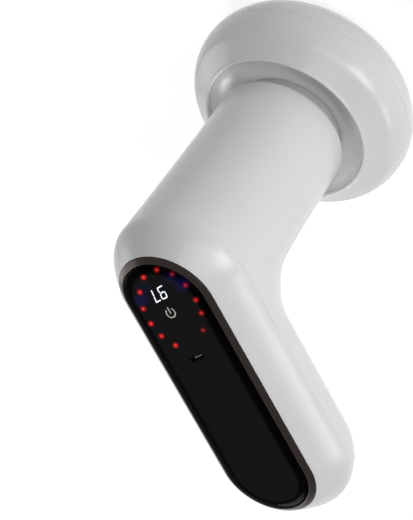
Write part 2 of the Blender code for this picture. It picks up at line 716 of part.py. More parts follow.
def make_board(parts, cutters, looks):
    start = math.degrees(math.asin(min(BOARD_END / BOARD_RADIUS, 0.0)))
    outline = arc((0, 0), BOARD_RADIUS, start, 180 - start, 2 * STADIUM_STEPS)
    outline += [(-BOARD_RADIUS, -BOARD_END), (BOARD_RADIUS, -BOARD_END)]
    prism("main_board", [outline], BOARD_UNDER_Z, BOARD_TOP_Z, looks["board"], parts)
    on_board = BOARD_TOP_Z + GAP
    for index, (x, y) in enumerate(oval_places()):
        half = LIGHT_WIDTH / 2
        light_top = on_board + LIGHT_HEIGHT
        name = f"led_{index + 1:02d}"
        box(name, (x - half, y - half, on_board), (x + half, y + half, light_top), looks["light"], parts)
    box(
        "digit_display",
        (DISPLAY_X - DISPLAY_LENGTH / 2, DISPLAY_Y - DISPLAY_WIDTH / 2, on_board),
        (DISPLAY_X + DISPLAY_LENGTH / 2, DISPLAY_Y + DISPLAY_WIDTH / 2, on_board + DISPLAY_HEIGHT),
        looks["dark plastic"],
        parts,
    )
    key = disc(KEY_RADIUS, on_board, LENS_UNDER_Z - GAP - KEY_REACH)
    turned("touch_pad", key, looks["copper"], parts, at=(KEY_X, KEY_Y, 0))
    port_top = LENS_Z + LENS_CROWN - PORT_RECESS
    port = prism(
        "usb_port", [slot_outline(PORT_LENGTH / 2, PORT_WIDTH / 2)], on_board, port_top, looks["steel"], parts
    )
    mouth_outline = slot_outline(PORT_LENGTH / 2 - PORT_WALL, PORT_WIDTH / 2 - PORT_WALL)
    mouth = prism("cut_port_mouth", [mouth_outline], port_top - PORT_DEPTH, port_top + OVERRUN, None, cutters)
    side, end = TONGUE_WIDTH / 2, TONGUE_LENGTH / 2
    corners = [(-end, PORT_Y - side), (end, PORT_Y - side), (end, PORT_Y + side), (-end, PORT_Y + side)]
    tongue_low, tongue_high = port_top - PORT_DEPTH - OVERRUN, port_top - TONGUE_RECESS
    tongue = prism("keep_port_tongue", [leaned(corners)], tongue_low, tongue_high, None, cutters)
    cut(mouth, [tongue])
    cut(port, [mouth])


def make_battery(parts, looks):
    for index, side in enumerate((-1, 1)):
        name = "battery_cell_" + str(index + 1)
        cell = turned(name, disc(CELL_RADIUS, 0, CELL_LENGTH), looks["cell"], parts)
        cell.rotation_euler = (math.pi / 2, 0, 0)
        cell.location = (side * CELL_X, CELL_START_Y, CELL_Z)
    seat = CELL_RADIUS + GAP
    outside = seat + TRAY_WALL
    rail_drop = CELL_RADIUS / 4
    rail = -math.degrees(math.asin(rail_drop / outside))
    seat_rail = -math.degrees(math.asin(rail_drop / seat))
    outline = arc((-CELL_X, 0), outside, 180 - rail, 270, 6)
    outline += arc((CELL_X, 0), outside, -90, rail, 6)
    outline += arc((CELL_X, 0), seat, seat_rail, -180 - seat_rail, 9)
    outline += arc((-CELL_X, 0), seat, seat_rail, -180 - seat_rail, 9)
    tray = prism("battery_tray", [outline], 0, CELL_LENGTH, looks["dark plastic"], parts)
    tray.rotation_euler = (math.pi / 2, 0, 0)
    tray.location = (0, CELL_START_Y, CELL_Z)
    board_under = CELL_Z + CELL_RADIUS + GAP
    start = CELL_START_Y - CHARGE_BOARD_MARGIN
    box(
        "charge_board",
        (-CHARGE_BOARD_WIDTH / 2, start - CHARGE_BOARD_LENGTH, board_under),
        (CHARGE_BOARD_WIDTH / 2, start, board_under + CHARGE_BOARD_THICKNESS),
        looks["board"],
        parts,
    )


def involute(angle):
    return math.tan(angle) - angle


def gear_outline(teeth, tip, root, thickness):
    """Outline of an external involute gear. The first tooth is centred on +X."""
    pitch = MODULE * teeth / 2
    base = pitch * math.cos(PRESSURE_ANGLE)

    def half_angle(radius):
        pressure = math.acos(min(base / radius, 1.0))
        return thickness / (2 * pitch) + involute(PRESSURE_ANGLE) - involute(pressure)

    start = max(root, base)
    flank = [start, (start + tip) / 2, tip]
    points = []
    for tooth in range(teeth):
        middle = math.tau * tooth / teeth
        if root < base:
            points.append((root, middle - half_angle(start)))
        points += [(radius, middle - half_angle(radius)) for radius in flank]
        points += [(radius, middle + half_angle(radius)) for radius in reversed(flank)]
        if root < base:
            points.append((root, middle + half_angle(start)))
    return [(radius * math.cos(angle), radius * math.sin(angle)) for radius, angle in points]


def wheel_outline(teeth):
    pitch = MODULE * teeth / 2
    thickness = math.pi * MODULE * TOOTH_THICKNESS_SHARE
    return gear_outline(teeth, pitch + MODULE * ADDENDUM_SHARE, pitch - MODULE * DEDENDUM_SHARE, thickness)


def ring_outline():
    """The space inside the ring gear, shaped like a wheel whose teeth are the ring's gaps."""
    pitch = MODULE * RING_TEETH / 2
    space = math.pi * MODULE * (1 - TOOTH_THICKNESS_SHARE)
    bottom = pitch + MODULE * DEDENDUM_SHARE
    outline = gear_outline(RING_TEETH, bottom, pitch - MODULE * ADDENDUM_SHARE, space)
    half_pitch = Matrix.Rotation(math.pi / RING_TEETH, 2)
    return [tuple(half_pitch @ Vector(point)) for point in outline]


def circle(radius, sides=COARSE_SIDES):
    angles = [math.tau * index / sides for index in range(sides)]
    return [(radius * math.cos(angle), radius * math.sin(angle)) for angle in angles]


def make_drive(parts, cutters, looks):
    case = turned("gear_case", disc(CASE_RADIUS, CASE_UNDER_Z, CASE_TOP_Z), looks["dark plastic"], parts, 36)
    teeth = prism("cut_ring_teeth", [ring_outline()], CASE_UNDER_Z - OVERRUN, CASE_ROOF_Z, None, cutters)
    nose = turned("cut_case_nose", disc(CASE_NOSE_BORE, CASE_UNDER_Z, CASE_TOP_Z + OVERRUN), None, cutters)
    cut(case, [teeth, nose])
    cover = turned(
        "gearbox_cover",
        disc(COVER_RADIUS, COVER_UNDER_Z, COVER_TOP_Z, BUSH_RADIUS + GAP),
        looks["dark plastic"],
        parts,
        36,
    )
    cut(cover, head_screw_bores("bore_cover_", COVER_UNDER_Z - OVERRUN, COVER_TOP_Z + OVERRUN, cutters))
    pin_inner = PLANET_PIN_RADIUS + GAP
    for index, (x, y) in enumerate(turned_places(PLANET_COUNT, PLANET_CIRCLE)):
        name = "planet_gear_" + str(index + 1)
        half_tooth = Matrix.Rotation(math.pi / PLANET_TEETH, 2)
        outline = [tuple(half_tooth @ Vector(point)) for point in wheel_outline(PLANET_TEETH)]
        outlines = [outline, circle(pin_inner, 12)]
        planet = prism(name, outlines, GEAR_UNDER_Z, GEAR_TOP_Z, looks["nylon"], parts)
        planet.location = (x, y, 0)
        planet.rotation_euler = (0, 0, math.tau * index / PLANET_COUNT)
    sun_bore = SHAFT_RADIUS + GAP
    outlines = [wheel_outline(SUN_TEETH), circle(sun_bore, 12)]
    prism("sun_gear", outlines, GEAR_UNDER_Z, GEAR_TOP_Z, looks["brass"], parts)
    thread_radius = PLATE_SCREW_RADIUS + LOOSE_BORE
    thread_top = SPINDLE_END_Z + SPINDLE_THREAD_DEPTH
    carrier = turned(
        "carrier",
        [
            (0, CARRIER_TOP_Z),
            (CARRIER_RADIUS, CARRIER_TOP_Z),
            (CARRIER_RADIUS, CARRIER_UNDER_Z),
            (SPINDLE_RADIUS, CARRIER_UNDER_Z),
            (SPINDLE_RADIUS, SPINDLE_END_Z),
            (thread_radius, SPINDLE_END_Z),
            (thread_radius, thread_top),
            (0, thread_top),
        ],
        looks["steel"],
        parts,
    )
    pins = [
        turned(
            "join_planet_pin_" + str(index + 1),
            disc(PLANET_PIN_RADIUS, CARRIER_UNDER_Z + GAP, GEAR_TOP_Z),
            None,
            cutters,
            12,
            (x, y, 0),
        )
        for index, (x, y) in enumerate(turned_places(PLANET_COUNT, PLANET_CIRCLE))
    ]
    join(carrier, pins)
    bush = disc(BUSH_RADIUS, COLLAR_UNDER_Z, CARRIER_UNDER_Z - GAP - GAP, SPINDLE_RADIUS + GAP)
    turned("spindle_bush", bush, looks["brass"], parts)


def make_motor(parts, looks):
    can_inner = MOTOR_RADIUS - MOTOR_WALL
    front_wall = MOTOR_UNDER_Z + MOTOR_WALL
    can = [
        (can_inner, MOTOR_TOP_Z),
        (MOTOR_RADIUS, MOTOR_TOP_Z),
        (MOTOR_RADIUS, MOTOR_UNDER_Z),
        (MOTOR_NOSE_RADIUS, MOTOR_UNDER_Z),
        (MOTOR_NOSE_RADIUS, MOTOR_UNDER_Z - MOTOR_NOSE_HEIGHT),
        (MOTOR_NOSE_BORE, MOTOR_UNDER_Z - MOTOR_NOSE_HEIGHT),
        (MOTOR_NOSE_BORE, front_wall),
        (can_inner, front_wall),
    ]
    turned("motor_can", can, looks["steel"], parts, 28)
    cap_low = MOTOR_TOP_Z + GAP
    shaft_top = cap_low + MOTOR_CAP_HEIGHT / 2
    bearing = SHAFT_RADIUS + GAP
    cap = [
        (0, MOTOR_CAP_TOP_Z),
        (MOTOR_RADIUS, MOTOR_CAP_TOP_Z),
        (MOTOR_RADIUS, cap_low),
        (bearing, cap_low),
        (bearing, shaft_top + GAP),
        (0, shaft_top + GAP),
    ]
    turned("motor_end_cap", cap, looks["dark plastic"], parts, 28)
    core_low = front_wall + ROTOR_LIFT
    core_high = core_low + ROTOR_LENGTH
    shaft = [
        (0, shaft_top),
        (SHAFT_RADIUS, shaft_top),
        (SHAFT_RADIUS, core_high),
        (ROTOR_RADIUS, core_high),
        (ROTOR_RADIUS, core_low),
        (SHAFT_RADIUS, core_low),
        (SHAFT_RADIUS, GEAR_UNDER_Z),
        (0, GEAR_UNDER_Z),
    ]
    turned("motor_shaft", shaft, looks["steel"], parts)


def rim_arc(inset, start, end, steps):
    return arc((DISC_RADIUS - RIM_ROUNDING, EQUATOR_Z), RIM_ROUNDING - inset, start, end, steps)


def make_head_cover(parts, cutters, white):
    middle = DISC_RADIUS - RIM_ROUNDING
    crease_angle = math.degrees(math.acos((CREASE_RADIUS - middle) / RIM_ROUNDING))
    split = GAP / 2
    bore = BUSH_RADIUS + GAP
    lip_centre = (LIP_RADIUS, LIP_Z - LIP_ROUNDING)
    wall_foot = (LIP_RADIUS - LIP_ROUNDING, LIP_Z - LIP_ROUNDING)
    depth = wall_foot[1] - RECESS_FLOOR_Z
    reach = wall_foot[0] - RECESS_FLOOR_RADIUS
    steps = 4
    hollow = [
        (
            RECESS_FLOOR_RADIUS + reach * math.sin(math.pi / 2 * step / steps),
            RECESS_FLOOR_Z + depth * (1 - math.cos(math.pi / 2 * step / steps)),
        )
        for step in range(steps)
    ]
    outer = [(bore, RECESS_FLOOR_Z)] + hollow + arc(lip_centre, LIP_ROUNDING, 180, 60, 3)
    outer += rim_arc(0.0, crease_angle, 0, 4)[:-1]
    outer.append((DISC_RADIUS, EQUATOR_Z + split))
    inner = [(DISC_RADIUS - COVER_WALL, EQUATOR_Z + split)]
    inner += rim_arc(COVER_WALL, 0, crease_angle, 4)[1:]
    inner.append((LIP_RADIUS, LIP_Z - COVER_WALL))
    inner.append((LIP_RADIUS - COVER_WALL, LIP_Z - 2 * COVER_WALL))
    inner.append((RECESS_FLOOR_RADIUS + COVER_WALL, RECESS_UNDER_Z))
    inner.append((bore, RECESS_UNDER_Z))
    cover = turned("head_rear_cover", outer + inner, white, parts, ROUND_SIDES)
    cut(cover, head_screw_bores("bore_head_", RECESS_UNDER_Z - OVERRUN, RECESS_FLOOR_Z + OVERRUN, cutters))


def make_head_ring(parts, white):
    split = GAP / 2
    bore = PLATE_RADIUS + GAP + GAP
    middle = DISC_RADIUS - RIM_ROUNDING
    front_radius = bore + RIM_FRONT_LIP
    front_angle = -math.degrees(math.acos((front_radius - middle) / RIM_ROUNDING))
    spigot = DISC_RADIUS - COVER_WALL - RING_SPIGOT_RELIEF
    inner_end = -math.degrees(math.acos((bore + COVER_WALL - middle) / (RIM_ROUNDING - COVER_WALL)))
    outline = [(DISC_RADIUS, EQUATOR_Z - split)]
    outline += rim_arc(0.0, 0, front_angle, 7)[1:]
    outline += [(bore, RIM_FRONT_Z), (bore, PLATE_BACK_Z)]
    outline += list(reversed(rim_arc(COVER_WALL, -8, inner_end, 5)))
    outline += [
        (spigot - RING_SPIGOT_WALL, EQUATOR_Z - split),
        (spigot - RING_SPIGOT_WALL, EQUATOR_Z + RING_SPIGOT_HEIGHT),
        (spigot, EQUATOR_Z + RING_SPIGOT_HEIGHT),
        (spigot, EQUATOR_Z - split),
    ]
    turned("head_front_ring", outline, white, parts, ROUND_SIDES)


def make_massage_head(parts, cutters, looks):
    skirt_top = PLATE_BACK_Z + PLATE_SKIRT_HEIGHT
    skirt_inner = PLATE_RADIUS - PLATE_SKIRT_WALL
    socket_outer = HUB_RADIUS + GAP + SOCKET_WALL
    socket_top = PLATE_BACK_Z + SOCKET_HEIGHT
    counterbore = PLATE_FACE_Z + PLATE_SCREW_HEAD_HEIGHT + GAP + GAP
    head_bore = PLATE_SCREW_HEAD_RADIUS + GAP
    shank_bore = PLATE_SCREW_RADIUS + LOOSE_BORE
    plate = turned(
        "massage_plate",
        [
            (shank_bore, socket_top),
            (socket_outer, socket_top),
            (socket_outer, PLATE_BACK_Z),
            (skirt_inner, PLATE_BACK_Z),
            (skirt_inner, skirt_top),
            (PLATE_RADIUS, skirt_top),
            (PLATE_RADIUS, PLATE_FACE_Z),
            (head_bore, PLATE_FACE_Z),
            (head_bore, counterbore),
            (shank_bore, counterbore),
        ],
        looks["grey plastic"],
        parts,
        ROUND_SIDES,
    )
    socket_radius = HUB_RADIUS + GAP / math.cos(math.pi / 6)
    socket_space = disc(socket_radius, PLATE_BACK_Z, socket_top + OVERRUN)
    socket = turned("cut_hub_socket", socket_space, None, cutters, 6)
    stems = [
        turned(
            "cut_node_stem_" + str(index + 1),
            disc(NODE_STEM_RADIUS + GAP, PLATE_FACE_Z - OVERRUN, PLATE_BACK_Z + OVERRUN),
            None,
            cutters,
            12,
            (x, y, 0),
        )
        for index, (x, y) in enumerate(turned_places(NODE_COUNT, NODE_CIRCLE, -math.pi / 2))
    ]
    cut(plate, [socket] + stems)
    hub_top = HUB_UNDER_Z + HUB_HEIGHT
    hub_floor = HUB_UNDER_Z + HUB_FLOOR
    spindle_bore = SPINDLE_RADIUS + GAP
    hub = [
        (spindle_bore, hub_top),
        (HUB_RADIUS, hub_top),
        (HUB_RADIUS, HUB_UNDER_Z),
        (shank_bore, HUB_UNDER_Z),
        (shank_bore, hub_floor),
        (spindle_bore, hub_floor),
    ]
    hub_object = turned("drive_hub", hub, looks["steel"], parts, 6)
    round_bore = turned("cut_hub_bore", disc(spindle_bore, hub_floor, hub_top + OVERRUN), None, cutters)
    cut(hub_object, [round_bore])
    node_under = PLATE_FACE_Z - GAP
    node = dome_outline(NODE_RADIUS, NODE_FLAT_RADIUS, node_under)
    stem_top = node_under + NODE_STEM_LENGTH
    node = [(0, stem_top), (NODE_STEM_RADIUS, stem_top), (NODE_STEM_RADIUS, node_under)] + node
    node_mesh = turned_mesh("massage_node", node, 14)
    for index, (x, y) in enumerate(turned_places(NODE_COUNT, NODE_CIRCLE, -math.pi / 2)):
        mesh = node_mesh.copy()
        tip = place(mesh, "massage_node_" + str(index + 1), parts, looks["silicone"])
        tip.location = (x, y, 0)
    bpy.data.meshes.remove(node_mesh)
    cap = [(0, node_under)] + dome_outline(CAP_RADIUS, CAP_FLAT_RADIUS, node_under)
    turned("centre_cap", cap, looks["silicone"], parts, 18)
    screw_head_low = PLATE_FACE_Z + GAP
    screw_head_high = screw_head_low + PLATE_SCREW_HEAD_HEIGHT
    screw_top = SPINDLE_END_Z + SPINDLE_THREAD_DEPTH - GAP
    screw = screw_outline(
        screw_head_low, screw_head_high, screw_top, PLATE_SCREW_HEAD_RADIUS, PLATE_SCREW_RADIUS
    )
    turned("plate_screw", screw, looks["steel"], parts, 14)


def dome_outline(radius, flat_radius, base):
    """A dome hanging from the base height down to a small flat at height zero."""
    steps = 4
    points = []
    for step in range(steps + 1):
        turn = math.pi / 2 * step / steps
        across = flat_radius + (radius - flat_radius) * math.cos(turn)
        points.append((across, base * (1 - math.sin(turn))))
    return points + [(0, 0)]


def screw_outline(head_low, head_high, tip, head_radius, radius):
    """A pan-headed screw whose head is below its shank."""
    shank = [(0, tip), (radius, tip), (radius, head_high)]
    return shank + [(head_radius, head_high), (head_radius, head_low), (0, head_low)]


def make_collar_and_screws(parts, cutters, looks):
    collar = turned(
        "neck_collar",
        disc(COLLAR_RADIUS, COLLAR_UNDER_Z, COLLAR_TOP_Z, BUSH_RADIUS + GAP),
        looks["grey plastic"],
        parts,
        ROUND_SIDES,
    )
    cut(collar, head_screw_bores("bore_collar_", COLLAR_UNDER_Z - OVERRUN, COLLAR_TOP_Z + OVERRUN, cutters))
    head_high = RECESS_UNDER_Z - GAP
    screw = screw_outline(
        head_high - HEAD_SCREW_HEAD_HEIGHT, head_high, COVER_TOP_Z, HEAD_SCREW_HEAD_RADIUS, HEAD_SCREW_RADIUS
    )
    for index, (x, y) in enumerate(turned_places(HEAD_SCREW_COUNT, HEAD_SCREW_CIRCLE, math.pi / 2)):
        turned("head_screw_" + str(index + 1), screw, looks["steel"], parts, 12, (x, y, 0))
    head_low = FLOOR_Z + GAP
    top = head_low + SCREW_HEAD_HEIGHT
    tip = SEAM_Z - SHELL_SCREW_BITE
    shell_screw = [
        (0, top),
        (SCREW_HEAD_RADIUS, top),
        (SCREW_HEAD_RADIUS, head_low),
        (SCREW_RADIUS, head_low),
        (SCREW_RADIUS, tip),
        (0, tip),
    ]
    for name, y in (("shell_screw_upper", UPPER_SCREW_Y), ("shell_screw_lower", LOWER_SCREW_Y)):
        turned(name, shell_screw, looks["steel"], parts, 12, (0, y, 0))


def smooth_route(points, steps):
    """Points on a smooth curve that passes through the route's own points."""
    knots = [points[0]] + points + [points[-1]]
    route = []
    for before, start, end, after in zip(knots, knots[1:], knots[2:], knots[3:]):
        p0, p1, p2, p3 = (Vector(p) for p in (before, start, end, after))
        for step in range(steps):
            t = step / steps
            curved = (p0 * 2 - p1 * 5 + p2 * 4 - p3) * t**2 + (p1 * 3 - p0 - p2 * 3 + p3) * t**3
            route.append((p1 * 2 + (p2 - p0) * t + curved) / 2)
    return route + [Vector(points[-1])]


def wire(name, points, look, collection):
    route = smooth_route(points, 3)
    curve = bpy.data.curves.new(name, "CURVE")
    curve.dimensions = "3D"
    curve.bevel_depth = WIRE_RADIUS
    curve.bevel_resolution = 1
    curve.use_fill_caps = True
    spline = curve.splines.new("POLY")
    spline.points.add(len(route) - 1)
    for point, co in zip(spline.points, route):
        point.co = (*co, 1)
    curve.materials.append(look)
    obj = bpy.data.objects.new(name, curve)
    collection.objects.link(obj)


def make_wires(parts, looks):
    high = BOARD_UNDER_Z - GAP
    low = MOTOR_CAP_TOP_Z + GAP
    middle = (low + high) / 2
    for name, side, look in (("motor_lead_red", 1, "red wire"), ("motor_lead_black", -1, "black wire")):
        x = side * WIRE_X
        quarter = (high - low) / 4
        points = [
            (x, 0, low),
            (x, 0, low + quarter / 2),
            (x + side * WIRE_SWAY, -WIRE_SWAY / 2, middle - quarter / 2),
            (x + side * WIRE_SWAY, -WIRE_SWAY, middle + quarter / 2),
            (x, -WIRE_SWAY, high - quarter / 2),
            (x, -WIRE_SWAY, high),
        ]
        wire(name, points, looks[look], parts)
    for name, side, look in (("battery_lead_red", 1, "red wire"), ("battery_lead_black", -1, "black wire")):
        x = side * CELL_X
        rise = high - CELL_Z
        points = [
            (x, CELL_START_Y + GAP, CELL_Z),
            (x, CELL_START_Y + WIRE_SWAY / 2, CELL_Z),
            (x, BATTERY_WIRE_Y - WIRE_SWAY / 4, CELL_Z + rise / 3),
            (x, BATTERY_WIRE_Y, high - rise / 4),
            (x, BATTERY_WIRE_Y, high),
        ]
        wire(name, points, looks[look], parts)


def make_looks():
    return {
        "white": material("white shell plastic", (0.68, 0.68, 0.69), 0.32),
        "bronze": material("bronze trim", (0.045, 0.032, 0.028), 0.22, 0.6),
        "black glass": material("black window", (0.004, 0.004, 0.005), 0.08),
        "rubber": material("black rubber", (0.02, 0.02, 0.02), 0.8),
        "board": material("green circuit board", (0.02, 0.12, 0.05), 0.5),
        "light": material("red light", (0.6, 0.02, 0.02), 0.3),
        "dark plastic": material("dark grey plastic", (0.05, 0.05, 0.055), 0.5),
        "copper": material("copper pad", (0.7, 0.3, 0.15), 0.35, 1.0),
        "steel": material("plated steel", (0.55, 0.55, 0.56), 0.3, 1.0),
        "cell": material("blue cell sleeve", (0.03, 0.12, 0.35), 0.45),
        "nylon": material("natural nylon", (0.75, 0.73, 0.66), 0.5),
        "brass": material("brass", (0.7, 0.5, 0.2), 0.3, 1.0),
        "grey plastic": material("light grey plastic", (0.45, 0.45, 0.46), 0.4),
        "silicone": material("grey silicone", (0.35, 0.35, 0.37), 0.6),
        "red wire": material("red wire sleeve", (0.5, 0.02, 0.02), 0.5),
        "black wire": material("black wire sleeve", (0.02, 0.02, 0.02), 0.5),
    }


def main():
    clear_scene()
    parts = make_collection("body_massager")
    cutters = make_collection("massager_cutters", helper=True)
    looks = make_looks()
    make_rear_shell(parts, cutters, looks["white"])
    make_front_shell(parts, cutters, looks["white"])
    make_bezel_and_lens(parts, cutters, looks["bronze"], looks["black glass"], looks["rubber"])
    make_board(parts, cutters, looks)
    make_battery(parts, looks)
    make_drive(parts, cutters, looks)
    make_motor(parts, looks)
    make_collar_and_screws(parts, cutters, looks)
    make_head_cover(parts, cutters, looks["white"])
    make_head_ring(parts, looks["white"])
    make_massage_head(parts, cutters, looks)
    make_wires(parts, looks)


if __name__ == "__main__":
    main()
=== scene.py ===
"""Studio scene of a handheld cordless massager: white shells, a dark window with lights, a turning head."""

import math

import bpy
from mathutils import Matrix, Vector


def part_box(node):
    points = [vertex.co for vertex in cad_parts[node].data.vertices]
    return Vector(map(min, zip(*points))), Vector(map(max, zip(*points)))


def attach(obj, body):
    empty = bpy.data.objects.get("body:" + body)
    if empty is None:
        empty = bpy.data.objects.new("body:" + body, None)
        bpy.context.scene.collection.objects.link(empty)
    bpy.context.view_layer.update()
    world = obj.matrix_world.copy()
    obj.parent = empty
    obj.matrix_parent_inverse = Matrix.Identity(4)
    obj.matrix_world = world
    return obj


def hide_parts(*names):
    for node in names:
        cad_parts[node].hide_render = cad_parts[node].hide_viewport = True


bl_info = {
    "name": "Handheld Massager",
    "version": (1, 0, 0),
    "blender": (4, 5, 0),
    "location": "3D View > Sidebar > Massager",
    "description": "Builds the skins, lights, finishes and studio of a handheld massager on its solid parts",
    "category": "Object",
}

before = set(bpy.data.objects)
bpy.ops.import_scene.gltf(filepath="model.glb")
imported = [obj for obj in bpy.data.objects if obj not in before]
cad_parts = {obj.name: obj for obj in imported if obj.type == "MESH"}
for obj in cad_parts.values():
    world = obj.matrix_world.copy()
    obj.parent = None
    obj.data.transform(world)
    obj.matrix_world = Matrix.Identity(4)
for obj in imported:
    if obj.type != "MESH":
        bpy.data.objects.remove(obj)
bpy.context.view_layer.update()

# Heights and radii of the solid parts, in metres, read from the loaded frame where a node shows them.
PLAY = 0.0003
WALL = 0.0020
DISC_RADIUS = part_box("head_rear_cover")[1].x
LIP_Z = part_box("head_rear_cover")[1].z
RIM_FRONT_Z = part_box("head_front_ring")[0].z
RIM_ROUNDING = 0.0207
EQUATOR_Z = 0.0234
CREASE_RADIUS = 0.0480
# The crease is blended over this many degrees of the rim's rounding.
CREASE_SOFTNESS = 4.0
LIP_RADIUS = 0.0386
LIP_ROUNDING = 0.0010
RECESS_FLOOR_RADIUS = 0.0275
RECESS_FLOOR_Z = 0.0377
COVER_WALL = 0.0022
BUSH_BORE = 0.0083
PLATE_RADIUS = 0.0384
PLATE_FACE_Z = 0.0070
PLATE_BACK_Z = 0.0112
NECK_END_Z = 0.0440
NECK_END_RADIUS = 0.0300
NECK_LENGTH = 0.0998
NECK_FLARE_POWER = 1.5
SHOULDER_ROUNDING = 0.0045
SEAM_RADIUS = 0.0330
SEAM_Z = NECK_END_Z + NECK_LENGTH
HANDLE_RUN = 0.0990
BACK_DEPTH = 0.0270
INNER_FILLET = 0.0210
FILLET_FADE = 0.4
LENS_Z = 0.1605
LENS_CROWN = 0.0007
LENS_EDGE_DROP = 0.0003
LENS_EDGE_WIDTH = 0.0042
LENS_RADIUS = 0.0203
LENS_UNDER_Z = 0.1585
FLOOR_Z = 0.1571
FLOOR_UNDER_Z = 0.1553
SHELL_EDGE_RADIUS = 0.0236
SHELL_EDGE_DROP = 0.0017
SHELL_SHOULDER_DROP = 0.0125
BEZEL_INNER = 0.0206
BEZEL_OUTER = 0.0234
TRIM_LIP = 0.0004
TRIM_FACE_DROP = 0.0014
WINDOW_END = -0.0336
PORT_Y = -0.0308
PORT_LENGTH = 0.00894
PORT_WIDTH = 0.00326
PORT_LEAN = math.radians(18.5)
NODE_CIRCLE = 0.0310
NODE_RADIUS = 0.0072
SCREW_PLACES = (-0.0375, -0.1130)
SCREW_BORE = 0.0018
# How far the front shell's sill reaches in under the window, and how far its rows keep from the seam.
SILL_WIDTH = 0.0024
SEAM_CLEAR = 0.0002
TRIM_EDGE = 0.0001
# The window's flat middle starts this far inside its curved edge.
WINDOW_FLAT = 0.0010
WINDOW_EDGE = 0.00005

# Each row of the rear shell runs on this far past the seam, where it is cut later. A point is still on the
# row's back half down to this cosine below zero.
PAST_SEAM = 0.0030
HALF_SLACK = 0.0003
# Steps along the neck, round the elbow, along the handle, round its end and over the window's edge.
NECK_STEPS = 20
ELBOW_STEPS = 26
HANDLE_STEPS = 16
END_STEPS = 28
EDGE_STEPS = 14
# A stroke's pointed ends stand out by this share of its half width.
TIP_SHARE = 0.6

# The lit marks are thin plates that lie just above the window.
MARK_THICKNESS = 0.00004
MARK_LIFT = 0.00001

# Steps of a full turn and of a half turn.
AROUND = 128
HALF_AROUND = 64


def linear(hex_colour):
    """An sRGB hex colour as linear red, green, blue and alpha."""
    parts = [int(hex_colour[i : i + 2], 16) / 255 for i in (1, 3, 5)]
    return tuple(p / 12.92 if p <= 0.04045 else ((p + 0.055) / 1.055) ** 2.4 for p in parts) + (1.0,)


def colour_setting(name, description, hex_colour):
    colour = linear(hex_colour)
    return bpy.props.FloatVectorProperty(
        name=name, description=description, subtype="COLOR", size=4, min=0.0, max=1.0, default=colour
    )


def length_setting(name, description, default):
    return bpy.props.FloatProperty(
        name=name, description=description, unit="LENGTH", min=0.0, default=default
    )


class ShellSettings(bpy.types.PropertyGroup):
    """The white shells."""

    white: colour_setting("White", "Colour of the moulded shells", "#e6e6e7")
    seam: length_setting("Seam", "Gap left between two shells at a seam", 0.00010)
    edge: length_setting("Edge", "Rounding of the shells' seam edges", 0.00014)


class PanelSettings(bpy.types.PropertyGroup):
    """The window, its trim, its lights and its marks."""

    glass: colour_setting("Window", "Colour of the smoked window", "#1e1e1f")
    trim: colour_setting("Trim", "Colour of the trim ring round the window", "#2a2320")
    light: colour_setting("Lights", "Colour of the level lights", "#ff1a1c")
    glow: colour_setting("Glow", "Colour of the faint glow inside the oval", "#20208c")
    digit: colour_setting("Digits", "Colour of the two lit characters", "#f2f8ff")
    power: colour_setting("Power symbol", "Colour of the power symbol", "#a8a29c")
    light_size: length_setting("Light size", "Width of one light's core behind the window", 0.0010)
    stroke: length_setting("Stroke", "Width of one bar of a digit", 0.0006)


class HeadSettings(bpy.types.PropertyGroup):
    """The turning plate and its soft nodules."""

    plate: colour_setting("Plate", "Colour of the turning plate", "#b9babd")
    nodule: colour_setting("Nodules", "Colour of the soft nodules", "#8f9094")
    groove: length_setting("Groove", "Depth of the rings turned into the plate", 0.0005)
    bead: length_setting("Bead", "How far the recess's lip stands above the cover round it", 0.0004)


class InsideSettings(bpy.types.PropertyGroup):
    """Boards, cells, gears and wires inside the shells."""

    board: colour_setting("Boards", "Colour of the boards' solder mask", "#0f5a2c")
    sleeve: colour_setting("Cells", "Colour of the cells' shrink sleeves", "#2f6fb5")
    carrier_plastic: colour_setting("Moulded frames", "Colour of the moulded frames and cases", "#2b2b2e")
    nylon: colour_setting("Nylon", "Colour of the natural nylon gears", "#e6e2d2")


class StageSettings(bpy.types.PropertyGroup):
    """The floor, the lamps and the camera."""

    floor: colour_setting("Floor", "Colour of the studio floor", "#f4f4f4")
    floor_size: length_setting("Floor size", "Length of one side of the floor", 6.0)
    distance: length_setting(
        "Camera distance", "From the camera to the middle of the window's round end", 1.598
    )
    lamp_level: bpy.props.FloatProperty(
        name="Lamp level", description="Share of full power at which all the lamps run", min=0.0, default=1.0
    )


def only(*objects):
    """Selects these objects and nothing else; the first one is active."""
    if bpy.context.mode != "OBJECT":
        bpy.ops.object.mode_set(mode="OBJECT")
    bpy.ops.object.select_all(action="DESELECT")
    for obj in objects:
        obj.select_set(True)
    bpy.context.view_layer.objects.active = objects[0]


def edit(obj):
    """Opens one object in edit mode with everything on it selected."""
    only(obj)
    bpy.ops.object.mode_set(mode="EDIT")
    bpy.ops.mesh.select_all(action="SELECT")


def leave_edit():
    bpy.ops.object.mode_set(mode="OBJECT")


def named(name):
    obj = bpy.context.active_object
    obj.name = obj.data.name = name
    return obj


def outline(name, points, closed=True, fill="NOTHING"):
    """A circle with one vertex for each point, its vertices moved to the points."""
    bpy.ops.object.select_all(action="DESELECT")
    bpy.ops.mesh.primitive_circle_add(vertices=len(points), radius=0.01, fill_type=fill)
    obj = named(name)
    for vertex, point in zip(obj.data.vertices, points):
        vertex.co = point
    if not closed:
        edit(obj)
        bpy.ops.mesh.select_mode(type="EDGE")
        bpy.ops.mesh.select_all(action="DESELECT")
        leave_edit()
        for line in obj.data.edges:
            line.select = set(line.vertices) == {0, len(points) - 1}
        bpy.ops.object.mode_set(mode="EDIT")
        bpy.ops.mesh.delete(type="EDGE")
        leave_edit()
    return obj


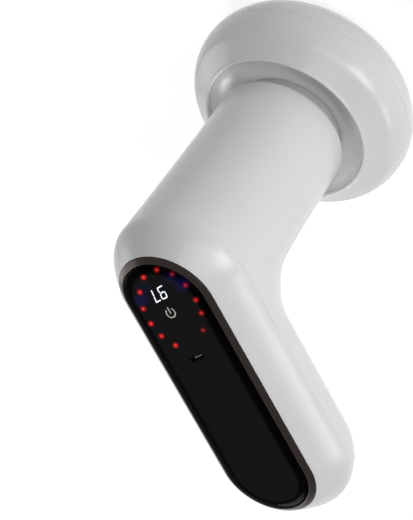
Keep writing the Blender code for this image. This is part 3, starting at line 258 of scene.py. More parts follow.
def cleaned(obj):
    """Merges doubles and turns every face outwards."""
    edit(obj)
    bpy.ops.mesh.remove_doubles(threshold=0.000002)
    bpy.ops.mesh.dissolve_degenerate(threshold=0.0000005)
    bpy.ops.mesh.select_all(action="SELECT")
    bpy.ops.mesh.normals_make_consistent(inside=False)
    leave_edit()
    return obj


def turned(name, profile, steps=AROUND, closed=True):
    """A profile of radius and height, spun once round the neck's axis."""
    obj = outline(name, [(radius, 0.0, height) for radius, height in profile], closed)
    edit(obj)
    bpy.ops.mesh.spin(steps=steps, angle=math.tau, center=(0.0, 0.0, 0.0), axis=(0.0, 0.0, 1.0))
    leave_edit()
    return cleaned(obj)


def run_round(name, profile, closed=True, caps=False):
    """A profile taken round the window's long outline: half turns at its ends, straight runs between them."""
    obj = outline(name, [(radius, 0.0, height) for radius, height in profile], closed)
    run = Vector((0.0, -HANDLE_RUN, 0.0))
    edit(obj)
    bpy.ops.mesh.spin(steps=HALF_AROUND, angle=-math.pi, center=(0.0, 0.0, 0.0), axis=(0.0, 0.0, 1.0))
    bpy.ops.mesh.extrude_region_move(TRANSFORM_OT_translate={"value": run})
    bpy.ops.mesh.spin(steps=HALF_AROUND, angle=-math.pi, center=run, axis=(0.0, 0.0, 1.0))
    bpy.ops.mesh.extrude_region_move(TRANSFORM_OT_translate={"value": -run})
    bpy.ops.mesh.select_all(action="SELECT")
    bpy.ops.mesh.remove_doubles(threshold=0.000002)
    if caps:
        bpy.ops.mesh.select_mode(type="EDGE")
        bpy.ops.mesh.select_all(action="DESELECT")
        bpy.ops.mesh.select_non_manifold()
        bpy.ops.mesh.edge_face_add()
    leave_edit()
    return cleaned(obj)


def raised(name, points, low, high):
    """An upright solid on a filled outline."""
    obj = outline(name, [(x, y, low) for x, y in points], fill="NGON")
    edit(obj)
    bpy.ops.mesh.extrude_region_move(TRANSFORM_OT_translate={"value": (0.0, 0.0, high - low)})
    leave_edit()
    return cleaned(obj)


def modified(obj, kind, **settings):
    """Adds one modifier and applies it."""
    only(obj)
    modifier = obj.modifiers.new(kind.title(), kind)
    for key, value in settings.items():
        setattr(modifier, key, value)
    bpy.ops.object.modifier_apply(modifier=modifier.name)
    return obj


def softened(obj, width, angle, segments=2):
    """Rounds the edges that bend by more than this angle in degrees."""
    sharp = math.radians(angle)
    return modified(obj, "BEVEL", width=width, segments=segments, limit_method="ANGLE", angle_limit=sharp)


def without(obj, *cutters):
    """Takes the cutters' shapes out of the piece."""
    for cutter in cutters:
        modified(obj, "BOOLEAN", operation="DIFFERENCE", solver="EXACT", object=cutter)
        bpy.data.meshes.remove(cutter.data)
    return obj


def joined(name, first, *others):
    only(first, *others)
    if others:
        bpy.ops.object.join()
    return named(name)


def finished(obj, look, body, nodes=(), angle=35.0):
    """Shades the piece, gives it its material and sets it on its body of the frame."""
    only(obj)
    bpy.ops.object.shade_smooth_by_angle(angle=math.radians(angle))
    obj.data.materials.clear()
    obj.data.materials.append(look)
    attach(obj, body)
    if nodes:
        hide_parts(*nodes)
    return obj


def arc(centre, radius, start, end, steps):
    """Points on an arc, its angles in degrees from +X or outwards."""
    turns = [math.radians(start + (end - start) * step / steps) for step in range(steps + 1)]
    return [(centre[0] + radius * math.cos(t), centre[1] + radius * math.sin(t)) for t in turns]


def node(tree, kind, inputs=(), **settings):
    """Adds a shader node of this kind: inputs are (socket, value or other node's output) pairs."""
    made = tree.nodes.new("ShaderNode" + kind)
    for key, value in settings.items():
        setattr(made, key, value)
    for socket, value in inputs:
        if isinstance(value, bpy.types.NodeSocket):
            tree.links.new(value, made.inputs[socket])
        else:
            made.inputs[socket].default_value = value
    return made


def blank(name, **constants):
    """A new material with constants on its surface shader, its tree and its object coordinates."""
    look = bpy.data.materials.get(name)
    if look:
        bpy.data.materials.remove(look)
    look = bpy.data.materials.new(name)
    look.use_nodes = True
    tree = look.node_tree
    for socket, value in constants.items():
        tree.nodes["Principled BSDF"].inputs[socket.replace("_", " ")].default_value = value
    return look, tree, node(tree, "TexCoord").outputs["Object"]


def feed(tree, socket, output):
    """Links an output to a socket of the surface shader."""
    tree.links.new(output, tree.nodes["Principled BSDF"].inputs[socket])


def shade_of(colour, share):
    return tuple(c * share for c in colour[:3]) + (1.0,)


# Noise lies between these values nearly everywhere, so they become the ends of what it drives.
NOISE_SPAN = [("From Min", 0.3), ("From Max", 0.7)]


def lumps(tree, place, size, detail, tint=None, gloss=None, relief=None, onto="Base Color"):
    """A pattern of lumps of this size in metres. It blends two colours, runs the roughness between two values
    and raises the surface by a strength and a height, where these are given."""
    inputs = [("Vector", place), ("Scale", 1.0 / size), ("Detail", detail), ("Roughness", 0.55)]
    noise = node(tree, "TexNoise", inputs).outputs["Fac"]
    if tint:
        share = node(tree, "MapRange", [("Value", noise), *NOISE_SPAN]).outputs["Result"]
        blend = node(tree, "Mix", [(0, share), (6, tint[0]), (7, tint[1])], data_type="RGBA")
        feed(tree, onto, blend.outputs[2])
    if gloss:
        ends = [("To Min", gloss[0]), ("To Max", gloss[1])]
        share = node(tree, "MapRange", [("Value", noise), *NOISE_SPAN, *ends]).outputs["Result"]
        feed(tree, "Roughness", share)
    if relief:
        inputs = [("Height", noise), ("Strength", relief[0]), ("Distance", relief[1])]
        feed(tree, "Normal", node(tree, "Bump", inputs).outputs["Normal"])
    return noise


def drawn_out(tree, place, stretch):
    """Coordinates in which a pattern is as many times longer along each axis."""
    lines = node(tree, "Mapping", [("Vector", place), ("Scale", stretch)], vector_type="TEXTURE")
    return lines.outputs["Vector"]


def moulded_plastic(name, colour, roughness, texture):
    """Injection moulded ABS: an even colour, a soft gloss that varies a little, and the mould's fine texture.
    The real mould texture is 0.05 mm; it is drawn coarser so that it shows."""
    look, tree, place = blank(name, Roughness=roughness, IOR=1.53)
    lumps(tree, place, 0.030, 0.0, tint=(shade_of(colour, 0.98), colour))
    lumps(tree, place, 0.020, 0.0, gloss=(roughness * 0.97, roughness * 1.03))
    lumps(tree, place, texture, 2.0, relief=(0.25, 0.00002))
    return look


def metal(name, colour, roughness, scratch=0.0006, stretch=(1.0, 1.0, 40.0)):
    """Bare metal: machining lines drawn out along one direction and a thin uneven film."""
    look, tree, place = blank(name, Metallic=1.0, Roughness=roughness)
    lines = drawn_out(tree, place, stretch)
    lumps(tree, lines, scratch, 2.0, gloss=(roughness * 0.75, roughness * 1.3), relief=(0.15, 0.00002))
    lumps(tree, place, 0.006, 3.0, tint=(shade_of(colour, 0.88), colour))
    return look


def lacquered_metal(name, colour):
    """Lacquered bronze: a warm mirror with thin flakes, pale where it mirrors the studio at a low angle and
    brown elsewhere."""
    look, tree, place = blank(
        name, Roughness=0.2, IOR=1.5, Metallic=0.9, Coat_Weight=0.1, Coat_Roughness=0.08
    )
    lumps(tree, place, 0.0006, 2.0, tint=(shade_of(colour, 0.9), shade_of(colour, 1.1)), gloss=(0.17, 0.23))
    return look


def soft_silicone(name, colour):
    """Moulded silicone rubber: matt, a little dusty where it curves away, with a fine satin grain."""
    look, tree, place = blank(
        name, Roughness=0.62, IOR=1.41, Sheen_Weight=0.15, Sheen_Roughness=0.5, Subsurface_Weight=0.08,
        Subsurface_Radius=(0.002, 0.0016, 0.0014), Subsurface_Scale=0.5,
    )
    lumps(tree, place, 0.004, 4.0, tint=(shade_of(colour, 0.92), shade_of(colour, 1.06)))
    lumps(tree, place, 0.0004, 2.0, relief=(0.3, 0.00003))
    return look


def solder_mask(name, colour):
    """Glass fibre board under green solder mask: glossy, with paler tracks showing through."""
    look, tree, place = blank(name, Roughness=0.25, IOR=1.55)
    inputs = [("Vector", place), ("Scale", 1.0), ("Mortar Size", 0.00022), ("Brick Width", 0.0052)]
    inputs += [("Row Height", 0.0017), ("Mortar", shade_of(colour, 1.9))]
    inputs += [("Color1", shade_of(colour, 0.9)), ("Color2", colour)]
    tracks = node(tree, "TexBrick", inputs).outputs
    feed(tree, "Base Color", tracks["Color"])
    inputs = [("Height", tracks["Fac"]), ("Strength", 0.3), ("Distance", 0.00004)]
    feed(tree, "Normal", node(tree, "Bump", inputs).outputs["Normal"])
    return look


def shrink_sleeve(name, colour):
    """Heat-shrunk PVC sleeve: taut and glossy with faint lengthwise wrinkles."""
    look, tree, place = blank(name, Roughness=0.28, IOR=1.53, Coat_Weight=0.2)
    lines = drawn_out(tree, place, (1.0, 12.0, 1.0))
    tint = (shade_of(colour, 0.88), colour)
    lumps(tree, lines, 0.0018, 2.0, tint=tint, gloss=(0.22, 0.34), relief=(0.3, 0.00005))
    return look


def gear_nylon(name, colour):
    """Natural nylon, moulded: milky and slightly see-through at its edges."""
    look, tree, place = blank(
        name, Roughness=0.4, IOR=1.53, Subsurface_Weight=0.25, Subsurface_Radius=(0.003, 0.0028, 0.002),
        Subsurface_Scale=0.5,
    )
    lumps(tree, place, 0.003, 3.0, tint=(shade_of(colour, 0.93), colour))
    lumps(tree, place, 0.0004, 2.0, relief=(0.2, 0.00002))
    return look


def wire_sleeve(name, colour):
    """Extruded PVC wire sleeve: soft gloss with slight scuffs."""
    look, tree, place = blank(name, Roughness=0.42, IOR=1.53)
    lumps(tree, place, 0.0012, 3.0, tint=(shade_of(colour, 0.85), colour), gloss=(0.36, 0.5))
    return look


def lit_mark(name, colour, strength, size):
    """A lit mark seen through the window: an even light with a slightly mottled diffuser."""
    look, tree, place = blank(
        name, Roughness=0.2, IOR=1.49, Base_Color=shade_of(colour, 0.5), Emission_Strength=strength
    )
    lumps(tree, place, size, 2.0, tint=(shade_of(colour, 0.86), colour), onto="Emission Color")
    return look


def smoked_window(name, panel):
    """Smoked acrylic window, polished: near black and mirror smooth, with a border printed black on its back
    and the lights' glow soaking through. The spots are drawn long, as a deep light is seen aslant."""
    look, tree, place = blank(name, Roughness=0.06, IOR=1.49, Specular_IOR_Level=0.008, Emission_Strength=1.0)
    glass = tuple(panel.glass)
    haze = lumps(tree, place, 0.02, 2.0, gloss=(0.045, 0.075))
    cloud = node(tree, "MapRange", [("Value", haze), *NOISE_SPAN]).outputs["Result"]
    inputs = [(0, cloud), (6, shade_of(glass, 0.92)), (7, glass)]
    clouded = node(tree, "Mix", inputs, data_type="RGBA").outputs[2]
    apart = node(tree, "SeparateXYZ", [(0, place)]).outputs
    along = node(tree, "Clamp", [("Value", apart["Y"]), ("Min", -HANDLE_RUN), ("Max", 0.0)])
    spine = node(tree, "CombineXYZ", [("Y", along.outputs[0]), ("Z", apart["Z"])]).outputs[0]
    away = node(tree, "VectorMath", [(0, place), (1, spine)], operation="DISTANCE")
    inner = LENS_RADIUS - LENS_EDGE_WIDTH
    inputs = [("From Min", inner - BORDER_FADE), ("From Max", inner + BORDER_FADE)]
    border = node(tree, "MapRange", [("Value", away.outputs["Value"]), *inputs]).outputs["Result"]
    inputs = [(0, border), (6, clouded), (7, linear("#020202"))]
    feed(tree, "Base Color", node(tree, "Mix", inputs, data_type="RGBA").outputs[2])
    inputs = [("Vector", place), ("Rotation", (0, 0, SIGHT)), ("Scale", (1 / SQUEEZE, 1, 1))]
    seen = node(tree, "Mapping", inputs, vector_type="TEXTURE").outputs["Vector"]
    spots = [(point, DOT_GLOW, panel.light, share) for point, share in zip(dot_places(), LIGHT_STRENGTHS)]
    spots += [(point, reach, panel.glow, share) for point, reach, share in GLOWS]
    glow = None
    for (x, y), reach, colour, share in spots:
        centre = Matrix.Rotation(-SIGHT, 3, "Z") @ Vector((x, y, 0.0))
        centre = (centre.x * SQUEEZE, centre.y, lens_height(x, y))
        off = node(tree, "VectorMath", [(0, seen), (1, centre)], operation="DISTANCE")
        inputs = [("Value", off.outputs["Value"]), ("From Max", reach), ("To Min", share), ("To Max", 0.0)]
        fade = node(tree, "MapRange", inputs, interpolation_type="SMOOTHERSTEP").outputs["Result"]
        inputs = [(0, tuple(colour)[:3]), ("Scale", fade)]
        lit = node(tree, "VectorMath", inputs, operation="SCALE").outputs["Vector"]
        if glow:
            lit = node(tree, "VectorMath", [(0, glow), (1, lit)], operation="ADD").outputs["Vector"]
        glow = lit
    feed(tree, "Emission Color", glow)
    return look


# Where each light stands on the leaning oval, in shares of a full turn, and how bright it is, both as the
# photograph shows them.
LIGHT_TURN_SHARES = (0.008, 0.062, 0.128, 0.197, 0.277, 0.370, 0.451, 0.522, 0.585, 0.647, 0.719, 0.933)
LIGHT_STRENGTHS = (0.34, 0.40, 0.22, 0.12, 0.34, 0.68, 0.64, 0.55, 0.68, 0.57, 0.68, 0.18)
OVAL_CENTRE = Vector((0.0003, -0.0041))
OVAL_AXES = (0.0146, 0.0219)
OVAL_LEAN = math.radians(16.5)
# Faint glows inside the oval: the middle, the reach and the brightness of each.
GLOWS = (
    ((0.0135, 0.0092), 0.0048, 0.14),
    ((0.0095, 0.0130), 0.0042, 0.08),
    ((-0.0121, 0.0026), 0.0052, 0.14),
    ((-0.0065, 0.0095), 0.0050, 0.04),
)
# The lights are drawn round as seen along this turn, where the window is foreshortened by this share.
SIGHT = math.radians(38.0)
SQUEEZE = 0.72
# How far aside a light's dot shows, its glow's reach round it and its brightness at full strength. A brighter
# light looks wider: its width is the first share, and the second one times its strength.
DOT_SHIFT = (0.00072, 0.00054)
DOT_GLOW = 0.0019
DOT_LEVEL = 0.92
DOT_WIDTHS = (0.7, 0.4)
# The window's printed border fades in over twice this width.
BORDER_FADE = 0.0006


def light_places():
    """The lights' places on the leaning oval, as on the board below."""
    lean = Matrix.Rotation(-OVAL_LEAN, 2)
    places = []
    for share in LIGHT_TURN_SHARES:
        turn = math.tau * share
        point = OVAL_CENTRE + lean @ Vector((OVAL_AXES[0] * math.cos(turn), OVAL_AXES[1] * math.sin(turn)))
        places.append((point.x, point.y))
    return places


def dot_places():
    """Where the lights show on the window: they lie deeper, so they are seen off to the viewer's side."""
    return [(x + DOT_SHIFT[0], y + DOT_SHIFT[1]) for x, y in light_places()]


def lens_height(x, y):
    """The height of the window's upper face at a place."""
    along = min(max(y, -HANDLE_RUN), 0.0)
    away = math.hypot(x, y - along)
    inward = (LENS_RADIUS - away) / LENS_EDGE_WIDTH
    if inward >= 1.0:
        return LENS_Z + LENS_CROWN
    share = max(0.0, 1.0 - (1.0 - max(inward, 0.0)) ** 2)
    return LENS_Z - LENS_EDGE_DROP + (LENS_CROWN + LENS_EDGE_DROP) * math.sqrt(share)


def neck_radius(height):
    share = min(max((height - NECK_END_Z) / NECK_LENGTH, 0.0), 1.0)
    return NECK_END_RADIUS + (SEAM_RADIUS - NECK_END_RADIUS) * share**NECK_FLARE_POWER


def ring_angles():
    """Angles round the neck from -Y; the ring starts and ends on the same point."""
    return [math.tau * step / AROUND for step in range(AROUND + 1)]


def elbow_reach(angle, down, half_width, pivot):
    """How far from the pivot the elbow's surface lies: two straight walls and the fillet that joins them."""
    wall_y = -pivot.x - half_width * down
    wall_z = SEAM_Z - pivot.y - BACK_DEPTH * down
    rounding = INNER_FILLET * down**FILLET_FADE
    ahead = Vector((math.cos(angle), math.sin(angle)))
    if ahead.y * wall_y <= ahead.x * (wall_z - rounding):
        return wall_y / ahead.x
    if ahead.x * wall_z <= ahead.y * (wall_y - rounding):
        return wall_z / ahead.y
    centre = Vector((wall_y - rounding, wall_z - rounding))
    along = centre.dot(ahead)
    return along + math.sqrt(max(along**2 - centre.length_squared + rounding**2, 0.0))


def elbow_row(angle, pivot, on_neck):
    """One slanted row round the elbow between neck and handle."""
    ahead_y, ahead_z = math.cos(angle), math.sin(angle)
    widest = -pivot.x / ahead_y if on_neck else (SEAM_Z - pivot.y) / ahead_z
    half_width = neck_radius(pivot.y + widest * ahead_z)
    row = []
    for a in ring_angles():
        across, down = math.sin(a), math.cos(a)
        if down > -HALF_SLACK or not on_neck:
            reach = widest - PAST_SEAM * down
            if down > -HALF_SLACK:
                reach = elbow_reach(angle, max(down, 0.0), half_width, pivot)
            row.append((half_width * across, pivot.x + ahead_y * reach, pivot.y + ahead_z * reach))
        else:
            y = -neck_radius(SEAM_Z) * down
            for _ in range(4):
                z = pivot.y + (y - pivot.x) * math.tan(angle)
                radius = neck_radius(z)
                y = -radius * down
            row.append((radius * across, y, z))
    return row


def rear_rows():
    """Rows of points from the bore in the neck's end, up the neck, round the elbow and along the handle."""
    pivot_z = SEAM_Z - BACK_DEPTH - INNER_FILLET
    pivot = Vector((-neck_radius(pivot_z) - INNER_FILLET, pivot_z))
    flat_end = NECK_END_RADIUS - SHOULDER_ROUNDING
    levels = [(BUSH_BORE, NECK_END_Z), ((BUSH_BORE + flat_end) / 2, NECK_END_Z)]
    levels += arc((flat_end, NECK_END_Z + SHOULDER_ROUNDING), SHOULDER_ROUNDING, -90, 0, 10)
    foot = levels[-1][1]
    heights = [foot + (pivot_z - foot) * step / NECK_STEPS for step in range(1, NECK_STEPS + 1)]
    levels += [(neck_radius(z), z) for z in heights]
    rows = [[(r * math.sin(a), -r * math.cos(a), z) for a in ring_angles()] for r, z in levels]
    corner = math.atan2(SEAM_Z - pivot.y, -pivot.x)
    rows += [elbow_row(corner * step / ELBOW_STEPS, pivot, True) for step in range(1, ELBOW_STEPS + 1)]
    rest = math.pi / 2 - corner
    rows += [elbow_row(corner + rest * step / ELBOW_STEPS, pivot, False) for step in range(1, ELBOW_STEPS)]
    run = -HANDLE_RUN - pivot.x
    ends = [(pivot.x + run * step / HANDLE_STEPS, 1.0) for step in range(HANDLE_STEPS + 1)]
    for step in range(1, END_STEPS + 1):
        turn = math.pi / 2 * step / END_STEPS
        share = math.cos(turn) if step < END_STEPS else 0.0
        ends.append((-HANDLE_RUN - SEAM_RADIUS * math.sin(turn), share))
    for y, share in ends:
        row = []
        for a in ring_angles():
            drop = BACK_DEPTH * share if math.cos(a) > -HALF_SLACK else PAST_SEAM
            row.append((SEAM_RADIUS * share * math.sin(a), y, SEAM_Z - drop * math.cos(a)))
        rows.append(row)
    return rows


class MASSAGER_OT_rear_shell(bpy.types.Operator):
    """Make the smooth rear shell: neck, elbow and the back of the handle"""

    bl_idname = "massager.rear_shell"
    bl_label = "Rear shell"

    def execute(self, context):
        shell = context.scene.massager_shell
        rows = rear_rows()
        bpy.ops.object.select_all(action="DESELECT")
        bpy.ops.mesh.primitive_grid_add(x_subdivisions=AROUND, y_subdivisions=len(rows) - 1, size=2.0)
        obj = named("rear_shell_skin")
        for vertex in obj.data.vertices:
            column = round((vertex.co.x + 1.0) / 2.0 * AROUND)
            row = round((vertex.co.y + 1.0) / 2.0 * (len(rows) - 1))
            vertex.co = rows[row][column]
        cleaned(obj)
        edit(obj)
        cut_z = SEAM_Z - shell.seam / 2
        bpy.ops.mesh.bisect(plane_co=(0.0, 0.0, cut_z), plane_no=(0.0, 0.0, 1.0), clear_outer=True)
        leave_edit()
        cleaned(obj)
        modified(obj, "SOLIDIFY", thickness=WALL, offset=-1.0, use_even_offset=True)
        softened(obj, shell.edge, 50, segments=3)
        finished(obj, white_shell(shell), "housing", ["rear_shell"])
        return {"FINISHED"}


def white_shell(shell):
    look = bpy.data.materials.get("moulded_white_abs")
    return look or moulded_plastic("moulded_white_abs", tuple(shell.white), 0.25, 0.0005)


def shell_curve(inset, steps=22):
    """The front shell's side from the bezel to the seam, moved inwards by the inset."""
    start = Vector((SHELL_EDGE_RADIUS, LENS_Z - SHELL_EDGE_DROP))
    bend = Vector((SEAM_RADIUS, LENS_Z - SHELL_SHOULDER_DROP))
    end = Vector((SEAM_RADIUS, SEAM_Z))
    points = []
    for step in range(steps + 1):
        t = step / steps
        point = start * (1 - t) ** 2 + bend * 2 * t * (1 - t) + end * t**2
        slope = ((bend - start) * (1 - t) + (end - bend) * t).normalized()
        points.append(point + Vector((slope.y, -slope.x)) * inset)
    return points


class MASSAGER_OT_front_shell(bpy.types.Operator):
    """Make the smooth front shell with its floor and the opening under the window"""

    bl_idname = "massager.front_shell"
    bl_label = "Front shell"

    def execute(self, context):
        shell = context.scene.massager_shell
        foot = SEAM_Z + shell.seam / 2
        clear = foot + SEAM_CLEAR
        outer = [tuple(p) for p in shell_curve(0.0) if p.y > clear] + [(SEAM_RADIUS, foot)]
        inner = [tuple(p) for p in shell_curve(WALL) if clear < p.y < FLOOR_UNDER_Z - PLAY]
        inner_top = (inner[0][0], FLOOR_UNDER_Z)
        middle = LENS_RADIUS / 2
        profile = [(middle, FLOOR_Z), (SHELL_EDGE_RADIUS, FLOOR_Z)] + outer
        profile += [(SEAM_RADIUS - WALL, foot)] + inner[::-1] + [inner_top, (middle, FLOOR_UNDER_Z)]
        obj = run_round("front_shell_skin", profile, closed=False, caps=True)
        window = LENS_RADIUS - SILL_WIDTH
        opening = [(-window, WINDOW_END), (window, WINDOW_END)] + arc((0.0, 0.0), window, 0, 180, 48)
        cutters = [raised("opening", opening, FLOOR_UNDER_Z - WALL, FLOOR_Z + WALL)]
        for y in SCREW_PLACES:
            bore = arc((0.0, y), SCREW_BORE, 0, 345, 23)
            cutters.append(raised("bore", bore, FLOOR_UNDER_Z - WALL, FLOOR_Z + WALL))
        without(obj, *cutters)
        softened(obj, shell.edge, 50, segments=3)
        finished(obj, white_shell(shell), "housing", ["front_shell"])
        return {"FINISHED"}


class MASSAGER_OT_trim(bpy.types.Operator):
    """Make the trim ring round the window"""

    bl_idname = "massager.trim"
    bl_label = "Trim ring"

    def execute(self, context):
        panel = context.scene.massager_panel
        under = FLOOR_Z + PLAY
        profile = [
            (BEZEL_INNER, under),
            *arc((BEZEL_INNER + TRIM_LIP, LENS_Z - TRIM_LIP), TRIM_LIP, 180, 57, 10),
            (BEZEL_OUTER, LENS_Z - TRIM_FACE_DROP),
            (BEZEL_OUTER, under),
        ]
        obj = run_round("trim_ring", profile)
        softened(obj, TRIM_EDGE, 15, segments=3)
        look = lacquered_metal("lacquered_bronze", tuple(panel.trim))
        finished(obj, look, "housing", ["bezel_ring"])
        return {"FINISHED"}


def port_point(along, across):
    """A place in the leaned slot, from its middle."""
    place = Matrix.Rotation(PORT_LEAN, 2) @ Vector((along, across)) + Vector((0.0, PORT_Y))
    return tuple(place)


def slot_outline(half_length, half_width, steps=12):
    """The charging slot's round-ended outline, leaned as the solid is."""
    reach = half_length - half_width
    ends = arc((reach, 0.0), half_width, -90, 90, steps) + arc((-reach, 0.0), half_width, 90, 270, steps)
    return [port_point(*point) for point in ends]


class MASSAGER_OT_window(bpy.types.Operator):
    """Make the crowned window with its slot"""

    bl_idname = "massager.window"
    bl_label = "Window"

    def execute(self, context):
        panel = context.scene.massager_panel
        flat = LENS_RADIUS - LENS_EDGE_WIDTH - WINDOW_FLAT
        profile = [(flat, LENS_UNDER_Z), (LENS_RADIUS, LENS_UNDER_Z)]
        for step in range(EDGE_STEPS + 1):
            turn = math.pi / 2 * (1 - step / EDGE_STEPS)
            radius = LENS_RADIUS - LENS_EDGE_WIDTH * (1 - math.sin(turn))
            profile.append((radius, lens_height(radius, 0.0)))
        profile.append((flat, LENS_Z + LENS_CROWN))
        obj = run_round("window", profile, closed=False, caps=True)
        slot = slot_outline(PORT_LENGTH / 2 + PLAY, PORT_WIDTH / 2 + PLAY)
        without(obj, raised("slot", slot, LENS_UNDER_Z - WALL, LENS_Z + WALL))
        softened(obj, WINDOW_EDGE, 60)
        finished(obj, smoked_window("smoked_acrylic", panel), "housing", ["lens"], 25.0)
        modified(obj, "WEIGHTED_NORMAL", keep_sharp=True)
        return {"FINISHED"}


def laid_on_window(obj):
    """Lays a flat mark on the window, its lower face just above the glass."""
    lowest = min(v.co.z for v in obj.data.vertices)
    for vertex in obj.data.vertices:
        vertex.co.z = lens_height(vertex.co.x, vertex.co.y) + MARK_LIFT + (vertex.co.z - lowest)
    return obj


class MASSAGER_OT_lights(bpy.types.Operator):
    """Make the twelve lit dots of the level lights, each above its light on the board"""

    bl_idname = "massager.lights"
    bl_label = "Level lights"

    def execute(self, context):
        panel = context.scene.massager_panel
        for index, ((x, y), strength) in enumerate(zip(dot_places(), LIGHT_STRENGTHS)):
            size = panel.light_size / 2 * (DOT_WIDTHS[0] + DOT_WIDTHS[1] * strength)
            name = f"light_dot_{index + 1:02d}"
            ring = [Vector((px / SQUEEZE, py)) for px, py in arc((0, 0), size, 0, 337.5, 15)]
            ring = [Matrix.Rotation(SIGHT, 2) @ point for point in ring]
            obj = raised(name, [(x + point.x, y + point.y) for point in ring], 0.0, MARK_THICKNESS)
            laid_on_window(obj)
            diffuser = f"light_diffuser_{index + 1:02d}"
            look = lit_mark(diffuser, tuple(panel.light), DOT_LEVEL * strength, 0.0008)
            finished(obj, look, "housing")
        return {"FINISHED"}


# The strokes of the two characters, traced from the photograph, in millimetres on the window.
DIGIT_STROKES = (
    ((-3.90, 7.25), (-4.22, 4.20)),
    ((-4.33, 3.70), (-4.68, 0.75), (-1.91, 1.80)),
    ((2.97, 9.49), (0.67, 8.57), (-0.10, 8.10), (-0.36, 7.00), (-0.14, 5.80)),
    (
        (0.20, 5.42), (2.15, 6.22), (2.62, 6.05), (2.72, 4.95), (2.45, 3.60), (2.00, 3.02),
        (-0.15, 2.30), (-0.55, 2.60), (-0.45, 4.02), (-0.12, 5.12),
    ),
)
# The ring and the bar of the power symbol, traced in the same way.
POWER_STROKES = (
    (
        (-2.18, -4.02), (-2.73, -5.05), (-2.92, -6.25), (-2.53, -7.40), (-1.43, -8.02), (-0.03, -7.72),
        (1.22, -6.75), (1.88, -5.44), (1.82, -4.10), (1.12, -3.14),
    ),
    ((-0.61, -2.40), (-0.55, -5.70)),
)


def smoothed(points, steps=5):
    """More points along the same line, on a smooth curve through all of them."""
    path = [points[0], *points, points[-1]]
    curve = []
    for a, b, c, d in zip(path, path[1:], path[2:], path[3:]):
        for step in range(steps):
            t = step / steps
            bend, twist = 2 * a - 5 * b + 4 * c - d, 3 * b - a - 3 * c + d
            curve.append(0.5 * (2 * b + (c - a) * t + bend * t**2 + twist * t**3))
    return curve + [points[-1]]


def stroke(line, half):
    """The closed outline of a line drawn this wide, with slanted joints and short pointed ends."""
    left, right = [], []
    for index, point in enumerate(line):
        before = (point - line[index - 1]).normalized() if index else (line[1] - point).normalized()
        after = (line[index + 1] - point).normalized() if index + 1 < len(line) else before
        across = Vector((-(before + after).y, (before + after).x)).normalized()
        across *= half / max(across.dot(Vector((-after.y, after.x))), 0.5)
        left.append(point + across)
        right.append(point - across)
    start, end = (line[0] - line[1]).normalized() * half, (line[-1] - line[-2]).normalized() * half
    return [line[0] + start * TIP_SHARE, *left, line[-1] + end * TIP_SHARE, *reversed(right)]


def marks(name, strokes, half, smooth=False):
    """Flat marks on the window, one for each stroke."""
    bars = []
    for points in strokes:
        line = [Vector(point) / 1000 for point in points]
        line = smoothed(line) if smooth and len(line) > 2 else line
        bars.append(laid_on_window(raised("bar", stroke(line, half), 0.0, MARK_THICKNESS)))
    return joined(name, *bars)


class MASSAGER_OT_digits(bpy.types.Operator):
    """Make the two lit seven-segment characters of the level display"""

    bl_idname = "massager.digits"
    bl_label = "Digits"

    def execute(self, context):
        panel = context.scene.massager_panel
        obj = marks("level_digits", DIGIT_STROKES, panel.stroke / 2)
        finished(obj, lit_mark("digit_diffuser", tuple(panel.digit), 1.0, 0.0010), "housing")
        return {"FINISHED"}


class MASSAGER_OT_power_mark(bpy.types.Operator):
    """Make the power symbol over the touch key"""

    bl_idname = "massager.power_mark"
    bl_label = "Power symbol"

    def execute(self, context):
        panel = context.scene.massager_panel
        obj = marks("power_symbol", POWER_STROKES, panel.stroke / 2, smooth=True)
        finished(obj, lit_mark("power_symbol_ink", tuple(panel.power), 0.75, 0.0010), "housing")
        return {"FINISHED"}


# The inlet: its mouth's depth, the sizes of its tongue and of one contact, how far below the inlet's top
# their middles lie, and the contacts' number, spacing and distance from the tongue's middle.
MOUTH_DEPTH = 0.0050
TONGUE_SIZE = (0.0048, 0.0006, 0.0040)
TONGUE_DROP = 0.0026
PAD_SIZE = (0.0002, 0.00006, 0.0022)
PAD_DROP = 0.0024
PADS = 12
PAD_PITCH = 0.0004
PAD_OFFSET = 0.00031


class MASSAGER_OT_port(bpy.types.Operator):
    """Make the charging inlet: its drawn shell, tongue and contacts"""

    bl_idname = "massager.port"
    bl_label = "Charging inlet"

    def execute(self, context):
        low, high = [corner.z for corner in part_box("usb_port")]
        shell = raised("usb_shell", slot_outline(PORT_LENGTH / 2, PORT_WIDTH / 2), low, high)
        mouth = slot_outline(PORT_LENGTH / 2 - PLAY, PORT_WIDTH / 2 - PLAY)
        without(shell, raised("mouth", mouth, high - MOUTH_DEPTH, high + WALL))
        softened(shell, 0.00008, 60)
        steel = metal("drawn_steel_blackened", linear("#060607"), 0.55)
        finished(shell, steel, "housing", ["usb_port"])
        tongue = self.block("usb_tongue", 0.0, 0.0, high - TONGUE_DROP, TONGUE_SIZE)
        modified(tongue, "BEVEL", width=0.00015, segments=3)
        dark = moulded_plastic("moulded_dark_nylon", linear("#3c3c3e"), 0.4, 0.0003)
        finished(tongue, dark, "housing")
        pads = []
        for step in range(PADS):
            along = (step - (PADS - 1) / 2) * PAD_PITCH
            for side in (-PAD_OFFSET, PAD_OFFSET):
                pads.append(self.block("pad", along, side, high - PAD_DROP, PAD_SIZE))
        contacts = joined("usb_contacts", *pads)
        finished(contacts, metal("gold_flash", linear("#d8a648"), 0.25), "housing")
        return {"FINISHED"}

    def block(self, name, along, across, height, size):
        """A box of this size, leaned with the slot, at a place along and across it."""
        bpy.ops.object.select_all(action="DESELECT")
        place = (*port_point(along, across), height)
        bpy.ops.mesh.primitive_cube_add(size=1.0, location=place, rotation=(0.0, 0.0, PORT_LEAN))
        obj = named(name)
        obj.scale = size
        bpy.ops.object.transform_apply(location=True, rotation=True, scale=True)
        return obj


